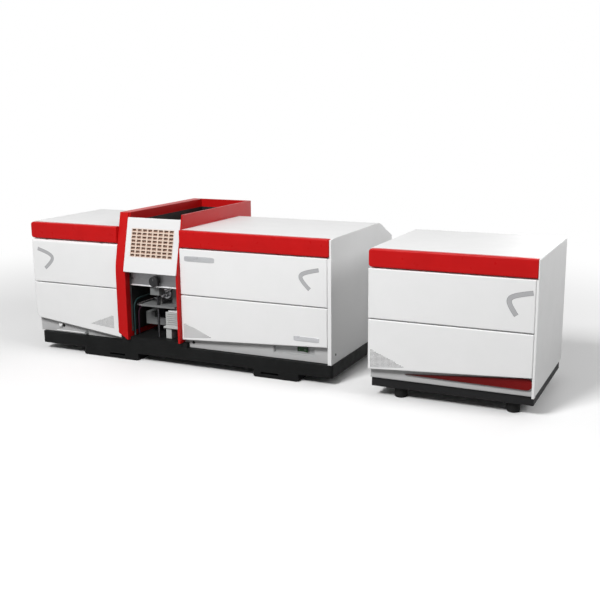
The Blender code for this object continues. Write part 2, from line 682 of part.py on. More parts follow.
def burner_bay_liner():
    left, right = BAY_LEFT + CLEAR, BAY_RIGHT - CLEAR
    back = TOWER_BACK - BACK_WALL - CLEAR
    lip = left + LINER_LIP
    outline = [(left, LINER_FRONT), (lip, LINER_FRONT), (lip, LINER_FRONT + LINER),
               (left + LINER, LINER_FRONT + LINER), (left + LINER, back - LINER),
               (right - LINER, back - LINER), (right - LINER, LINER_FRONT), (right, LINER_FRONT),
               (right, back), (left, back)]
    mesh = bmesh.new()
    prism(mesh, outline, "XY", LINER_LOW, TOWER_TOP - LINER_DROP)
    liner = make("burner_bay_liner", mesh, DARK_STEEL)
    holes = bmesh.new()
    rod(holes, "X", (BEAM_Y, BEAM_Z), LINER_HOLE, left - CUT_OVERRUN, right + CUT_OVERRUN)
    cut(liner, holes)
    door_rebate(liner, left - CUT_OVERRUN, right + CUT_OVERRUN, LINER)


def windows():
    """Quartz lenses on the light path, one in each wall of the tower."""
    lens_radius = LENS_HOLE - CLEAR
    rim, dome = 0.0040, 0.0030
    lens_share = 0.6
    for name, face, side in (("left_window", BAY_LEFT, -1), ("right_window", BAY_RIGHT, 1)):
        crown, shoulder = face + side * (rim + dome), face + side * (rim + dome / 2)
        profile = [(crown, 0), (shoulder, lens_radius * lens_share),
                   (face + side * rim, lens_radius), (face, lens_radius), (face, 0)]
        mesh = bmesh.new()
        turned(mesh, profile, "X", (BEAM_Y, BEAM_Z))
        make(name, mesh, GLASS)


# The vented shield door, hinged at its top edge between the tower walls
VENT_COLUMNS = 8
VENT_ROWS = 8
VENT_SIDE = 0.01755
VENT_BRIDGE = 0.0050
VENT_PITCH_X = (DOOR_RIGHT - DOOR_LEFT - 2 * VENT_SIDE) / VENT_COLUMNS
VENT_WIDTH = VENT_PITCH_X - VENT_BRIDGE
VENT_HEIGHT = 0.0066
VENT_PITCH_Z = 0.0107
VENT_FIELD_DROP = 0.0375
DOOR_CORNER = 0.004


def vent_door():
    length = (DOOR_HIGH - DOOR_LOW) / math.cos(TILT)
    half = DOOR_THICK / 2
    left, right = DOOR_LEFT - BAY_LEFT, DOOR_RIGHT - BAY_LEFT
    mesh = bmesh.new()
    bottom = half - length
    outline = rounded((left, bottom), (right, 0), [DOOR_CORNER, DOOR_CORNER, 0, 0])
    prism(mesh, outline, "XZ", -half, half)
    door = make("vent_door", mesh, WHITE, (BAY_LEFT, VENT_AXIS_Y, VENT_AXIS_Z), -TILT)
    edge = bmesh.new()
    rod(edge, "X", (0, 0), half, left, right, 24)
    join(door, edge)
    pins = bmesh.new()
    rod(pins, "X", (0, 0), VENT_PIN, left - DOOR_THICK / 2, right + DOOR_THICK / 2, 12)
    join(door, pins)
    slots = bmesh.new()
    middle = (left + right) / 2
    first_x = middle - (VENT_COLUMNS - 1) * VENT_PITCH_X / 2
    first_z = half - VENT_FIELD_DROP
    for row in range(VENT_ROWS):
        for column in range(VENT_COLUMNS):
            x, z = first_x + column * VENT_PITCH_X, first_z - row * VENT_PITCH_Z
            block(slots, (x - VENT_WIDTH / 2, -CUT_OVERRUN, z - VENT_HEIGHT / 2),
                  (x + VENT_WIDTH / 2, CUT_OVERRUN, z + VENT_HEIGHT / 2))
    cut(door, slots)


# The crossbar under the door, with the height knob, its gearbox and the lift screw
BAR_INSET = 0.0105
BAR_FRONT = FRONT + BAR_INSET
BAR_SHEET = 0.0020
BAR_DROP = 0.0040
BAR_HEIGHT = 0.0390
BAR_HIGH = DOOR_LOW - BAR_DROP
BAR_LOW = BAR_HIGH - BAR_HEIGHT
BAR_LIP = 0.0055
KNOB_ASIDE = 0.0060
KNOB_RISE = 0.0175
CHAMBER_X = (BAY_LEFT + BAY_RIGHT) / 2
KNOB_X = CHAMBER_X + KNOB_ASIDE
KNOB_Z = BAR_LOW + KNOB_RISE
KNOB_RADIUS = 0.0160
KNOB_LENGTH = 0.0130
KNOB_SHAFT = 0.0030
KNOB_GRIPS = 12
GEARBOX_WIDTH = 0.029
GEARBOX_DEPTH = 0.028
GEARBOX_DROP = 0.0270
GEARBOX_LOW = BAR_LOW - GEARBOX_DROP
SCREW_ASIDE = 0.0105
SCREW_BEHIND = 0.0195
SCREW_X = KNOB_X - SCREW_ASIDE
SCREW_Y = BAR_FRONT + SCREW_BEHIND
SCREW_RADIUS = 0.0040
SCREW_TOP = BAR_LOW


def crossbar():
    left = BAY_LEFT + CLEAR + LINER_LIP + CLEAR
    right = BAY_RIGHT - LINER - 2 * CLEAR
    outline = [(BAR_FRONT - BAR_LIP, BAR_LOW), (BAR_FRONT + BAR_SHEET, BAR_LOW),
               (BAR_FRONT + BAR_SHEET, BAR_HIGH), (BAR_FRONT, BAR_HIGH),
               (BAR_FRONT, BAR_LOW + BAR_SHEET), (BAR_FRONT - BAR_LIP, BAR_LOW + BAR_SHEET)]
    mesh = bmesh.new()
    prism(mesh, outline, "YZ", left, right)
    bar = make("burner_crossbar", mesh, STEEL)
    hole = bmesh.new()
    rod(hole, "Y", (KNOB_X, KNOB_Z), KNOB_SHAFT + CLEAR,
        BAR_FRONT - CUT_OVERRUN, BAR_FRONT + CUT_OVERRUN)
    cut(bar, hole)
    tab = bmesh.new()
    block(tab, (BAY_LEFT + LINER + 2 * CLEAR, BAR_FRONT + CLEAR, BAR_LOW),
          (left + BAR_LIP, BAR_FRONT + BAR_SHEET, BAR_HIGH))
    join(bar, tab)


def burner_height_knob():
    back = BAR_FRONT - BAR_LIP - CLEAR
    front = back - KNOB_LENGTH
    edge = KNOB_LENGTH / 8
    mesh = bmesh.new()
    profile = [(front - BAR_FRONT, 0), (front - BAR_FRONT, KNOB_RADIUS - edge),
               (front - BAR_FRONT + edge, KNOB_RADIUS), (back - BAR_FRONT, KNOB_RADIUS),
               (back - BAR_FRONT, KNOB_SHAFT), (GEARBOX_DEPTH / 2, KNOB_SHAFT), (GEARBOX_DEPTH / 2, 0)]
    turned(mesh, profile, "Y", (0, 0), 36)
    knob = make("burner_height_knob", mesh, BLACK, (KNOB_X, BAR_FRONT, KNOB_Z))
    grooves = bmesh.new()
    for grip in range(KNOB_GRIPS):
        turn = math.tau * grip / KNOB_GRIPS
        across = (KNOB_RADIUS + edge / 2) * math.cos(turn), (KNOB_RADIUS + edge / 2) * math.sin(turn)
        rod(grooves, "Y", across, edge, front - BAR_FRONT - CUT_OVERRUN, back - BAR_FRONT + edge, 8)
    cut(knob, grooves)


def lift_gearbox():
    back = BAR_FRONT + BAR_SHEET + CLEAR
    mesh = bmesh.new()
    left = SCREW_X - GEARBOX_WIDTH / 2
    block(mesh, (left, back, GEARBOX_LOW),
          (left + GEARBOX_WIDTH + KNOB_SHAFT, back + GEARBOX_DEPTH, KNOB_Z + KNOB_RADIUS))
    box = make("lift_gearbox", mesh, GREY)
    bores = bmesh.new()
    rod(bores, "Y", (KNOB_X, KNOB_Z), KNOB_SHAFT + CLEAR, back - CUT_OVERRUN,
        BAR_FRONT + GEARBOX_DEPTH / 2 + CLEAR)
    rod(bores, "Z", (SCREW_X, SCREW_Y), SCREW_RADIUS + CLEAR,
        GEARBOX_LOW - CUT_OVERRUN, SCREW_TOP + CLEAR)
    cut(box, bores)


def lift_screw():
    thread_share = 0.85
    turns = 12
    low, high = BAY_FLOOR + CLEAR, SCREW_TOP
    pitch = (high - low) / (2 * turns)
    profile = [(low, 0)]
    for step in range(2 * turns + 1):
        profile.append((low + step * pitch, SCREW_RADIUS * (thread_share if step % 2 else 1)))
    profile.append((high, 0))
    mesh = bmesh.new()
    turned(mesh, [(place - low, radius) for place, radius in profile], "Z", (0, 0), 12)
    make("lift_screw", mesh, STEEL, (SCREW_X, SCREW_Y, low))


# The burner: carriage on a rail, spray chamber, nebulizer and slot burner head
LIFT_TRAVEL = 0.015
FLAME_GAP = 0.020
HEAD_HEIGHT = 0.028
NECK_HEIGHT = 0.015
COLLAR_RISE = 0.0455
HEAD_TOP = BEAM_Z - FLAME_GAP
NECK_TOP = HEAD_TOP - HEAD_HEIGHT
COLLAR_TOP = NECK_TOP - NECK_HEIGHT
CHAMBER_Z = COLLAR_TOP - COLLAR_RISE
CHAMBER_RADIUS = 0.024
CHAMBER_BEFORE = 0.125
CHAMBER_BEHIND = 0.025
CHAMBER_FRONT = BEAM_Y - CHAMBER_BEFORE
CHAMBER_BACK = BEAM_Y + CHAMBER_BEHIND
NECK_RADIUS = 0.012
COLLAR_RADIUS = 0.017
SHELF_THICK = 0.006
SHELF_GAP = 0.003
SHELF_TOP = CHAMBER_Z - CHAMBER_RADIUS - SHELF_GAP
SHELF_SIDE = 0.0295
SHELF_WIDTH = BAY_RIGHT - BAY_LEFT - 2 * SHELF_SIDE
SHELF_INSET = 0.020
SHELF_BEHIND = 0.074
SHELF_FRONT = FRONT + SHELF_INSET
SHELF_BACK = BEAM_Y + SHELF_BEHIND
DRAIN_BEHIND = 0.025
DRAIN_Y = CHAMBER_FRONT + DRAIN_BEHIND
DRAIN_RADIUS = 0.005
RAIL_WIDTH = 0.024
RAIL_DEPTH = 0.012
RAIL_RISE = 0.0385
RAIL_TOP = CHAMBER_Z + RAIL_RISE
CRADLE_WIDTH = 0.030
CRADLE_LENGTH = 0.020
TRAP_RISE = 0.0500
TRAP_TOP = BAY_FLOOR + TRAP_RISE
DRAIN_DIP = 0.016
DRAIN_LOW = TRAP_TOP - DRAIN_DIP


def burner_carriage():
    mesh = bmesh.new()
    low = SHELF_TOP - SHELF_THICK
    block(mesh, (CHAMBER_X - SHELF_WIDTH / 2, SHELF_FRONT, low),
          (CHAMBER_X + SHELF_WIDTH / 2, SHELF_BACK, SHELF_TOP))
    carriage = make("burner_carriage", mesh, GREY)
    added = bmesh.new()
    half = CRADLE_WIDTH / 2
    for start in (CHAMBER_FRONT + CRADLE_LENGTH / 2, CHAMBER_BACK - 2 * CRADLE_LENGTH):
        block(added, (CHAMBER_X - half, start, low + SHELF_THICK / 2),
              (CHAMBER_X + half, start + CRADLE_LENGTH / 2, CHAMBER_Z - CHAMBER_RADIUS / 2))
    block(added, (CHAMBER_X - RAIL_WIDTH, SHELF_BACK - SHELF_THICK, low + SHELF_THICK / 2),
          (CHAMBER_X + RAIL_WIDTH, SHELF_BACK, RAIL_TOP - 2 * LIFT_TRAVEL))
    for side in (-1, 1):
        inner = CHAMBER_X + side * (RAIL_WIDTH / 2 + CLEAR)
        outer = CHAMBER_X + side * RAIL_WIDTH
        block(added, (min(inner, outer), SHELF_BACK - SHELF_THICK / 2, low + SHELF_THICK),
              (max(inner, outer), SHELF_BACK + RAIL_DEPTH / 2, RAIL_TOP - 2 * LIFT_TRAVEL))
    join(carriage, added)
    cuts = bmesh.new()
    rod(cuts, "Z", (SCREW_X, SCREW_Y), SCREW_RADIUS + CLEAR, low - CUT_OVERRUN, SHELF_TOP + CUT_OVERRUN)
    rod(cuts, "Z", (CHAMBER_X, DRAIN_Y), DRAIN_RADIUS + SHELF_THICK,
        low - CUT_OVERRUN, SHELF_TOP + CLEAR)
    rod(cuts, "Y", (CHAMBER_X, CHAMBER_Z), CHAMBER_RADIUS + CLEAR, CHAMBER_FRONT - CUT_OVERRUN,
        CHAMBER_BACK + CUT_OVERRUN / 2, 32)
    cut(carriage, cuts)


def carriage_rail():
    mesh = bmesh.new()
    start = SHELF_BACK + CLEAR
    block(mesh, (CHAMBER_X - RAIL_WIDTH / 2, start, BAY_FLOOR + CLEAR),
          (CHAMBER_X + RAIL_WIDTH / 2, start + RAIL_DEPTH, RAIL_TOP))
    rail = make("carriage_rail", mesh, STEEL)
    foot_plate = bmesh.new()
    block(foot_plate, (CHAMBER_X - RAIL_WIDTH, start - RAIL_DEPTH, BAY_FLOOR + CLEAR),
          (CHAMBER_X + RAIL_WIDTH, start + 2 * RAIL_DEPTH, BAY_FLOOR + CLEAR + SHELF_THICK))
    join(rail, foot_plate)


def spray_chamber():
    edge = CHAMBER_RADIUS / 6
    mesh = bmesh.new()
    profile = [(CHAMBER_FRONT, 0), (CHAMBER_FRONT, CHAMBER_RADIUS - edge),
               (CHAMBER_FRONT + edge, CHAMBER_RADIUS), (CHAMBER_BACK - edge, CHAMBER_RADIUS),
               (CHAMBER_BACK, CHAMBER_RADIUS - edge), (CHAMBER_BACK, 0)]
    turned(mesh, profile, "Y", (CHAMBER_X, CHAMBER_Z), 32)
    chamber = make("spray_chamber", mesh, BLACK)
    added = bmesh.new()
    turned(added, [(CHAMBER_Z, 0), (CHAMBER_Z, COLLAR_RADIUS), (COLLAR_TOP, COLLAR_RADIUS),
                   (COLLAR_TOP, NECK_RADIUS), (NECK_TOP, NECK_RADIUS), (NECK_TOP, 0)],
           "Z", (CHAMBER_X, BEAM_Y), 24)
    join(chamber, added)
    drain = bmesh.new()
    rod(drain, "Z", (CHAMBER_X, DRAIN_Y), DRAIN_RADIUS, DRAIN_LOW, CHAMBER_Z, 16)
    join(chamber, drain)


def nebulizer():
    """Screwed into the front of the spray chamber, with the stub of its sample capillary."""
    back = CHAMBER_FRONT - CLEAR
    flange, barrel, nut, stub = 0.004, 0.014, 0.008, 0.006
    flange_radius, barrel_radius, nut_radius, stub_radius = 0.016, 0.010, 0.0075, 0.0015
    places = [back]
    for length in (flange, barrel, nut, stub):
        places.append(places[-1] - length)
    radii = (flange_radius, barrel_radius, nut_radius, stub_radius)
    profile = [(places[-1], 0)]
    for index in range(len(radii) - 1, -1, -1):
        profile += [(places[index + 1], radii[index]), (places[index], radii[index])]
    profile.append((back, 0))
    mesh = bmesh.new()
    turned(mesh, profile, "Y", (CHAMBER_X, CHAMBER_Z), 24)
    make("nebulizer", mesh, CHROME)


HEAD_LENGTH = 0.116
HEAD_WIDTH = 0.030
HEAD_LIP_WIDTH = 0.012
BURNER_SLOT_LENGTH = 0.100
BURNER_SLOT_WIDTH = 0.0012
BURNER_SLOT_DEPTH = 0.010


def burner_head():
    """Turns on the neck of the spray chamber, so that its slot can lie across the light beam."""
    foot_z = COLLAR_TOP + CLEAR
    shoulder = NECK_TOP + CLEAR
    wall = 0.006
    flat, sloped = 0.006, 0.010
    half, lip = HEAD_WIDTH / 2, HEAD_LIP_WIDTH / 2
    bottom = shoulder - foot_z
    top = HEAD_TOP - foot_z
    outline = [(-half, bottom), (half, bottom), (half, bottom + flat), (lip, bottom + flat + sloped),
               (lip, top), (-lip, top), (-lip, bottom + flat + sloped), (-half, bottom + flat)]
    mesh = bmesh.new()
    prism(mesh, outline, "YZ", -HEAD_LENGTH / 2, HEAD_LENGTH / 2)
    head = make("burner_head", mesh, TITANIUM, (CHAMBER_X, BEAM_Y, foot_z))
    socket = bmesh.new()
    rod(socket, "Z", (0, 0), NECK_RADIUS + wall, 0, bottom + flat / 2, 32)
    join(head, socket)
    hollow = bmesh.new()
    rod(hollow, "Z", (0, 0), NECK_RADIUS + CLEAR, -CUT_OVERRUN, bottom, 24)
    block(hollow, (-BURNER_SLOT_LENGTH / 2, -BURNER_SLOT_WIDTH / 2, top - BURNER_SLOT_DEPTH),
          (BURNER_SLOT_LENGTH / 2, BURNER_SLOT_WIDTH / 2, top + CUT_OVERRUN))
    cut(head, hollow)


# Low in the compartment: the drain trap at the left and the ribbed gas valve block at the right
TRAP_FROM_LEFT = 0.012
TRAP_LEFT = BAY_LEFT + TRAP_FROM_LEFT
TRAP_TOWER_RISE = 0.017
TRAP_TOWER_TOP = TRAP_TOP + TRAP_TOWER_RISE
TRAP_TOWER_WIDTH = 0.032
TRAP_DEPTH = 0.060
TRAP_UNDER = 0.028
TRAP_LEG = 0.010
TRAP_FRONT = DRAIN_Y - TRAP_DEPTH / 2
TRAP_RIGHT = CHAMBER_X + TRAP_DEPTH / 4


def drain_trap():
    """A stepped box that stands clear of the floor on one leg near its back."""
    back = TRAP_FRONT + TRAP_DEPTH
    low = BAY_FLOOR + TRAP_UNDER
    mesh = bmesh.new()
    block(mesh, (TRAP_LEFT, TRAP_FRONT, low), (TRAP_RIGHT, back, TRAP_TOP))
    trap = make("drain_trap", mesh, GREY)
    tower = bmesh.new()
    block(tower, (TRAP_LEFT, TRAP_FRONT, TRAP_TOP - SHELF_THICK),
          (TRAP_LEFT + TRAP_TOWER_WIDTH, back, TRAP_TOWER_TOP))
    join(trap, tower)
    leg = bmesh.new()
    block(leg, (TRAP_RIGHT - 2 * TRAP_LEG, back - 2 * TRAP_LEG, BAY_FLOOR + CLEAR),
          (TRAP_RIGHT - TRAP_LEG, back - TRAP_LEG, low + SHELF_THICK / 4))
    join(trap, leg)
    mouth = bmesh.new()
    rod(mouth, "Z", (CHAMBER_X, DRAIN_Y), DRAIN_RADIUS + SHELF_THICK / 2, DRAIN_LOW - SHELF_THICK / 2,
        TRAP_TOP + CUT_OVERRUN, 20)
    cut(trap, mouth)


VALVE_INSET = 0.028
VALVE_FRONT = FRONT + VALVE_INSET
VALVE_DEPTH = 0.058
VALVE_RISE = 0.0377
VALVE_HEIGHT = 0.044
VALVE_LOW = BAY_FLOOR + VALVE_RISE
VALVE_TOP = VALVE_LOW + VALVE_HEIGHT
VALVE_SHELF = 0.005
VALVE_RIBS = 6
VALVE_RIB_DEPTH = 0.0025
VALVE_LEG_WIDTH = 0.0190
VALVE_BESIDE = 0.0020
VALVE_LEFT = TRAP_RIGHT + VALVE_BESIDE + VALVE_SHELF
VALVE_RIGHT = BAY_RIGHT - LINER - 3 * CLEAR
CAP_HEIGHT = 0.0065
CAP_INSET = 0.010


def gas_valve_block():
    left = VALVE_LEFT
    mesh = bmesh.new()
    block(mesh, (left, VALVE_FRONT, VALVE_LOW), (VALVE_RIGHT, VALVE_FRONT + VALVE_DEPTH, VALVE_TOP))
    valve = make("gas_valve_block", mesh, GREY)
    added = bmesh.new()
    block(added, (left - VALVE_SHELF, VALVE_FRONT - VALVE_SHELF, VALVE_LOW - VALVE_SHELF),
          (VALVE_RIGHT, VALVE_FRONT + VALVE_DEPTH, VALVE_LOW + CLEAR))
    join(valve, added)
    leg = bmesh.new()
    block(leg, (left, VALVE_FRONT, BAY_FLOOR + CLEAR),
          (left + VALVE_LEG_WIDTH, VALVE_FRONT + VALVE_DEPTH, VALVE_LOW - VALVE_SHELF / 2))
    join(valve, leg)
    grooves = bmesh.new()
    pitch = (VALVE_TOP - VALVE_LOW) / (VALVE_RIBS + 1)
    for rib in range(VALVE_RIBS):
        centre = VALVE_LOW + (rib + 1) * pitch
        block(grooves, (left - CUT_OVERRUN, VALVE_FRONT - CUT_OVERRUN, centre - pitch / 6),
              (left + VALVE_RIB_DEPTH, VALVE_FRONT + VALVE_DEPTH / 2, centre + pitch / 6))
    front_grooves = bmesh.new()
    for rib in range(VALVE_RIBS):
        centre = VALVE_LOW + (rib + 1) * pitch
        block(front_grooves, (left + VALVE_RIB_DEPTH * 2, VALVE_FRONT - CUT_OVERRUN, centre - pitch / 6),
              (VALVE_RIGHT + CUT_OVERRUN, VALVE_FRONT + VALVE_RIB_DEPTH, centre + pitch / 6))
    cut(valve, grooves)
    cut(valve, front_grooves)


def gas_valve_cap():
    left = VALVE_LEFT + CAP_INSET
    mesh = bmesh.new()
    block(mesh, (left, VALVE_FRONT, VALVE_TOP + CLEAR),
          (VALVE_RIGHT, VALVE_FRONT + VALVE_DEPTH - CAP_INSET, VALVE_TOP + CLEAR + CAP_HEIGHT))
    soften(make("gas_valve_cap", mesh, WHITE), CAP_HEIGHT / 5)


# The lamp turret: two discs on a shaft that carry the hollow cathode lamps parallel to the light path
STATIONS = 6
LAMPS = 3
LAMP_CIRCLE = 0.062
LAMP_RADIUS = 0.0175
LAMP_PLUG_RADIUS = 0.0130
LAMP_LENGTH = 0.150
LAMP_PLUG_LENGTH = 0.028
TURRET_RADIUS = 0.084
TURRET_DISC = 0.006
SHAFT_RADIUS = 0.008
TURRET_FROM_LEFT = 0.130
TURRET_X = LEFT + TURRET_FROM_LEFT
TURRET_Z = BEAM_Z - LAMP_CIRCLE
HOLDER_FORWARD = 0.095
BRACKET_PLATE = 0.012
BRACKET_WIDTH = 0.080
MOTOR_SIDE = 0.042
MOTOR_LENGTH = 0.034


def station(index):
    """Where a lamp station lies round the turret's shaft; the first is on the light path."""
    turn = math.pi / 2 + math.tau * index / STATIONS
    return LAMP_CIRCLE * math.cos(turn), LAMP_CIRCLE * math.sin(turn)


def lamp_turret():
    mesh = bmesh.new()
    rod(mesh, "X", (0, 0), TURRET_RADIUS, 0, TURRET_DISC, 48)
    origin = (TURRET_X, BEAM_Y, TURRET_Z)
    turret = make("lamp_turret", mesh, ALUMINIUM, origin)
    shaft = bmesh.new()
    reach = LAMP_PLUG_LENGTH + BRACKET_PLATE
    rod(shaft, "X", (0, 0), SHAFT_RADIUS, -reach, HOLDER_FORWARD + TURRET_DISC / 2)
    join(turret, shaft)
    holder = bmesh.new()
    rod(holder, "X", (0, 0), TURRET_RADIUS, HOLDER_FORWARD, HOLDER_FORWARD + TURRET_DISC, 48)
    join(turret, holder)
    seats = bmesh.new()
    for index in range(STATIONS):
        place = station(index)
        rod(seats, "X", place, LAMP_PLUG_RADIUS + CLEAR, -CUT_OVERRUN, TURRET_DISC + CUT_OVERRUN, 20)
        rod(seats, "X", place, LAMP_RADIUS + CLEAR, HOLDER_FORWARD - CUT_OVERRUN,
            HOLDER_FORWARD + TURRET_DISC + CUT_OVERRUN, 24)
    cut(turret, seats)
    window_rim = LAMP_RADIUS / 5
    for index in range(LAMPS):
        y, z = station(index)
        body = TURRET_DISC + CLEAR
        end = body + LAMP_LENGTH
        mesh = bmesh.new()
        turned(mesh, [(-LAMP_PLUG_LENGTH, 0), (-LAMP_PLUG_LENGTH, LAMP_PLUG_RADIUS),
                      (body, LAMP_PLUG_RADIUS), (body, LAMP_RADIUS), (end - window_rim, LAMP_RADIUS),
                      (end, LAMP_RADIUS - window_rim / 2), (end, 0)], "X", (y, z), 24)
        make(f"lamp_{index + 1}", mesh, GLASS, origin)


def turret_bracket():
    start = TURRET_X - LAMP_PLUG_LENGTH - BRACKET_PLATE - CLEAR
    mesh = bmesh.new()
    half = BRACKET_WIDTH / 2
    stop = start + BRACKET_PLATE - CLEAR
    block(mesh, (start, BEAM_Y - half, FLOOR), (stop, BEAM_Y + half, TURRET_Z + half / 2))
    bracket = make("turret_bracket", mesh, ALUMINIUM)
    added = bmesh.new()
    side = MOTOR_SIDE / 2
    block(added, (start - MOTOR_LENGTH, BEAM_Y - side, TURRET_Z - side),
          (start + CLEAR, BEAM_Y + side, TURRET_Z + side))
    join(bracket, added)
    foot_plate = bmesh.new()
    block(foot_plate, (start - MOTOR_LENGTH, BEAM_Y - half, FLOOR),
          (stop + BRACKET_PLATE, BEAM_Y + half, FLOOR + SHELF_THICK))
    join(bracket, foot_plate)
    bore = bmesh.new()
    rod(bore, "X", (BEAM_Y, TURRET_Z), SHAFT_RADIUS + CLEAR, start, stop + CUT_OVERRUN)
    cut(bracket, bore)


# The monochromator: a walled tray on pillars, with the grating on its turntable and the detector outside
CASE_FROM_LEFT = 0.038
CASE_LEFT = RIGHT_COVER_LEFT + CASE_FROM_LEFT
CASE_LENGTH_SHARE = 0.605
CASE_LENGTH = (RIGHT - RIGHT_COVER_LEFT) * CASE_LENGTH_SHARE
CASE_BEFORE = 0.120
CASE_BEHIND = 0.088
CASE_FRONT = BEAM_Y - CASE_BEFORE
CASE_DEPTH = BODY_BACK - CASE_BEHIND - CASE_FRONT
CASE_UNDER = 0.070
CASE_LOW = BEAM_Z - CASE_UNDER
CASE_HEIGHT = 0.105
CASE_WALL = 0.004
PILLAR = 0.022
SLIT = 0.010
GRATING_SIDE = 0.050
GRATING_THICK = 0.010
TURNTABLE_RADIUS = 0.030
TURNTABLE_HEIGHT = 0.008
CASE_RIGHT = CASE_LEFT + CASE_LENGTH
CASE_MIDDLE = CASE_LEFT + CASE_LENGTH / 2
GRATING_X = (CASE_MIDDLE + CASE_RIGHT) / 2
GRATING_Y = CASE_FRONT + CASE_DEPTH / 2
DETECTOR_LENGTH = 0.048
DETECTOR_SIDE = 0.060


def monochromator_case():
    mesh = bmesh.new()
    back = CASE_FRONT + CASE_DEPTH
    top = CASE_LOW + CASE_HEIGHT
    block(mesh, (CASE_LEFT, CASE_FRONT, CASE_LOW), (CASE_RIGHT, back, top))
    case = make("monochromator_case", mesh, ALUMINIUM)
    pillars = bmesh.new()
    for x in (CASE_LEFT, CASE_RIGHT - PILLAR):
        for y in (CASE_FRONT, back - PILLAR):
            block(pillars, (x, y, FLOOR), (x + PILLAR, y + PILLAR, CASE_LOW + CASE_WALL / 2))
    join(case, pillars)
    hollow = bmesh.new()
    half = CASE_WALL / 2
    cells = ((CASE_LEFT + CASE_WALL, CASE_MIDDLE - half), (CASE_MIDDLE + half, CASE_RIGHT - CASE_WALL))
    for low, high in cells:
        block(hollow, (low, CASE_FRONT + CASE_WALL, CASE_LOW + CASE_WALL),
              (high, back - CASE_WALL, top + CUT_OVERRUN))
    cut(case, hollow)
    slits = bmesh.new()
    rod(slits, "X", (BEAM_Y, BEAM_Z), SLIT, CASE_LEFT - CUT_OVERRUN, CASE_RIGHT + CUT_OVERRUN, 16)
    cut(case, slits)


def grating():
    low = CASE_LOW + CASE_WALL + CLEAR
    mesh = bmesh.new()
    rod(mesh, "Z", (0, 0), TURNTABLE_RADIUS, 0, TURNTABLE_HEIGHT, 32)
    piece = make("grating", mesh, MIRROR, (GRATING_X, GRATING_Y, low))
    plate = bmesh.new()
    block(plate, (-GRATING_THICK / 2, -GRATING_SIDE / 2, TURNTABLE_HEIGHT / 2),
          (GRATING_THICK / 2, GRATING_SIDE / 2, TURNTABLE_HEIGHT + GRATING_SIDE))
    join(piece, plate)


def detector_housing():
    start = CASE_RIGHT + CLEAR
    half = DETECTOR_SIDE / 2
    mesh = bmesh.new()
    block(mesh, (start, BEAM_Y - half, BEAM_Z - half),
          (start + DETECTOR_LENGTH, BEAM_Y + half, CASE_LOW + CASE_HEIGHT))
    soften(make("detector_housing", mesh, BLACK), DETECTOR_SIDE / 20)


# Mains side: transformer, fan, inlet socket and the gas fittings on the rear wall
TRANSFORMER = (0.100, 0.090, 0.085)
TRANSFORMER_COIL = 0.020


def transformer(name, left, front, floor, scale):
    """An iron core with its winding round the middle, on the cabinet's floor."""
    width, depth, height = (side * scale for side in TRANSFORMER)
    mesh = bmesh.new()
    block(mesh, (left, front, floor), (left + width, front + depth, floor + height))
    core = make(name, mesh, CORE)
    coil = bmesh.new()
    inset = TRANSFORMER_COIL * scale
    block(coil, (left + inset, front - inset / 2, floor + inset),
          (left + width - inset, front + depth + inset / 2, floor + height - inset))
    join(core, coil)


FAN_GUARD = 0.0025


def fan_frame():
    depth, hub = 0.025, 0.019
    ring, spoke = 0.0030, 0.0040
    half = FAN_SIDE / 2
    outer = BODY_BACK - SHEET - CLEAR
    mesh = bmesh.new()
    block(mesh, (FAN_X - half, outer - depth, FAN_Z - half), (FAN_X + half, outer, FAN_Z + half))
    frame = make("fan_frame", mesh, BLACK)
    bore = bmesh.new()
    rod(bore, "Y", (FAN_X, FAN_Z), FAN_BORE, outer - depth - CUT_OVERRUN, outer + CUT_OVERRUN, 40)
    cut(frame, bore)
    spokes = bmesh.new()
    rod(spokes, "Y", (FAN_X, FAN_Z), hub, outer - FAN_GUARD, outer, 24)
    join(frame, spokes)
    for wide, tall in ((FAN_BORE + ring, spoke / 2), (spoke / 2, FAN_BORE + ring)):
        bar = bmesh.new()
        block(bar, (FAN_X - wide, outer - FAN_GUARD, FAN_Z - tall), (FAN_X + wide, outer, FAN_Z + tall))
        join(frame, bar)
    low, high = (hub + FAN_BORE - ring) / 2, (hub + FAN_BORE + ring) / 2
    hoop = bmesh.new()
    turned(hoop, [(outer - FAN_GUARD, low), (outer - FAN_GUARD, high), (outer, high), (outer, low),
                  (outer - FAN_GUARD, low)],
           "Y", (FAN_X, FAN_Z), 32)
    join(frame, hoop)


def fan_rotor():
    depth, hub, blades = 0.017, 0.018, 7
    tip_gap, root = 0.0015, 0.016
    blade_thick, blade_half, pitch_angle = 0.0018, 0.0102, 35.0
    start = BODY_BACK - SHEET - CLEAR - FAN_GUARD - 2 * CLEAR - depth
    mesh = bmesh.new()
    rod(mesh, "Y", (0, 0), hub, 0, depth, 24)
    rotor = make("fan_rotor", mesh, BLACK, (FAN_X, start, FAN_Z))
    ring = bmesh.new()
    for blade in range(blades):
        before = len(ring.verts)
        block(ring, (root, -blade_thick / 2, -blade_half),
              (FAN_BORE - tip_gap, blade_thick / 2, blade_half))
        ring.verts.ensure_lookup_table()
        turn = (Matrix.Translation((0, depth / 2, 0)) @ Matrix.Rotation(math.tau * blade / blades, 4, "Y")
                @ Matrix.Rotation(math.radians(90 - pitch_angle), 4, "X"))
        bmesh.ops.transform(ring, matrix=turn, verts=ring.verts[before:])
    join(rotor, ring)


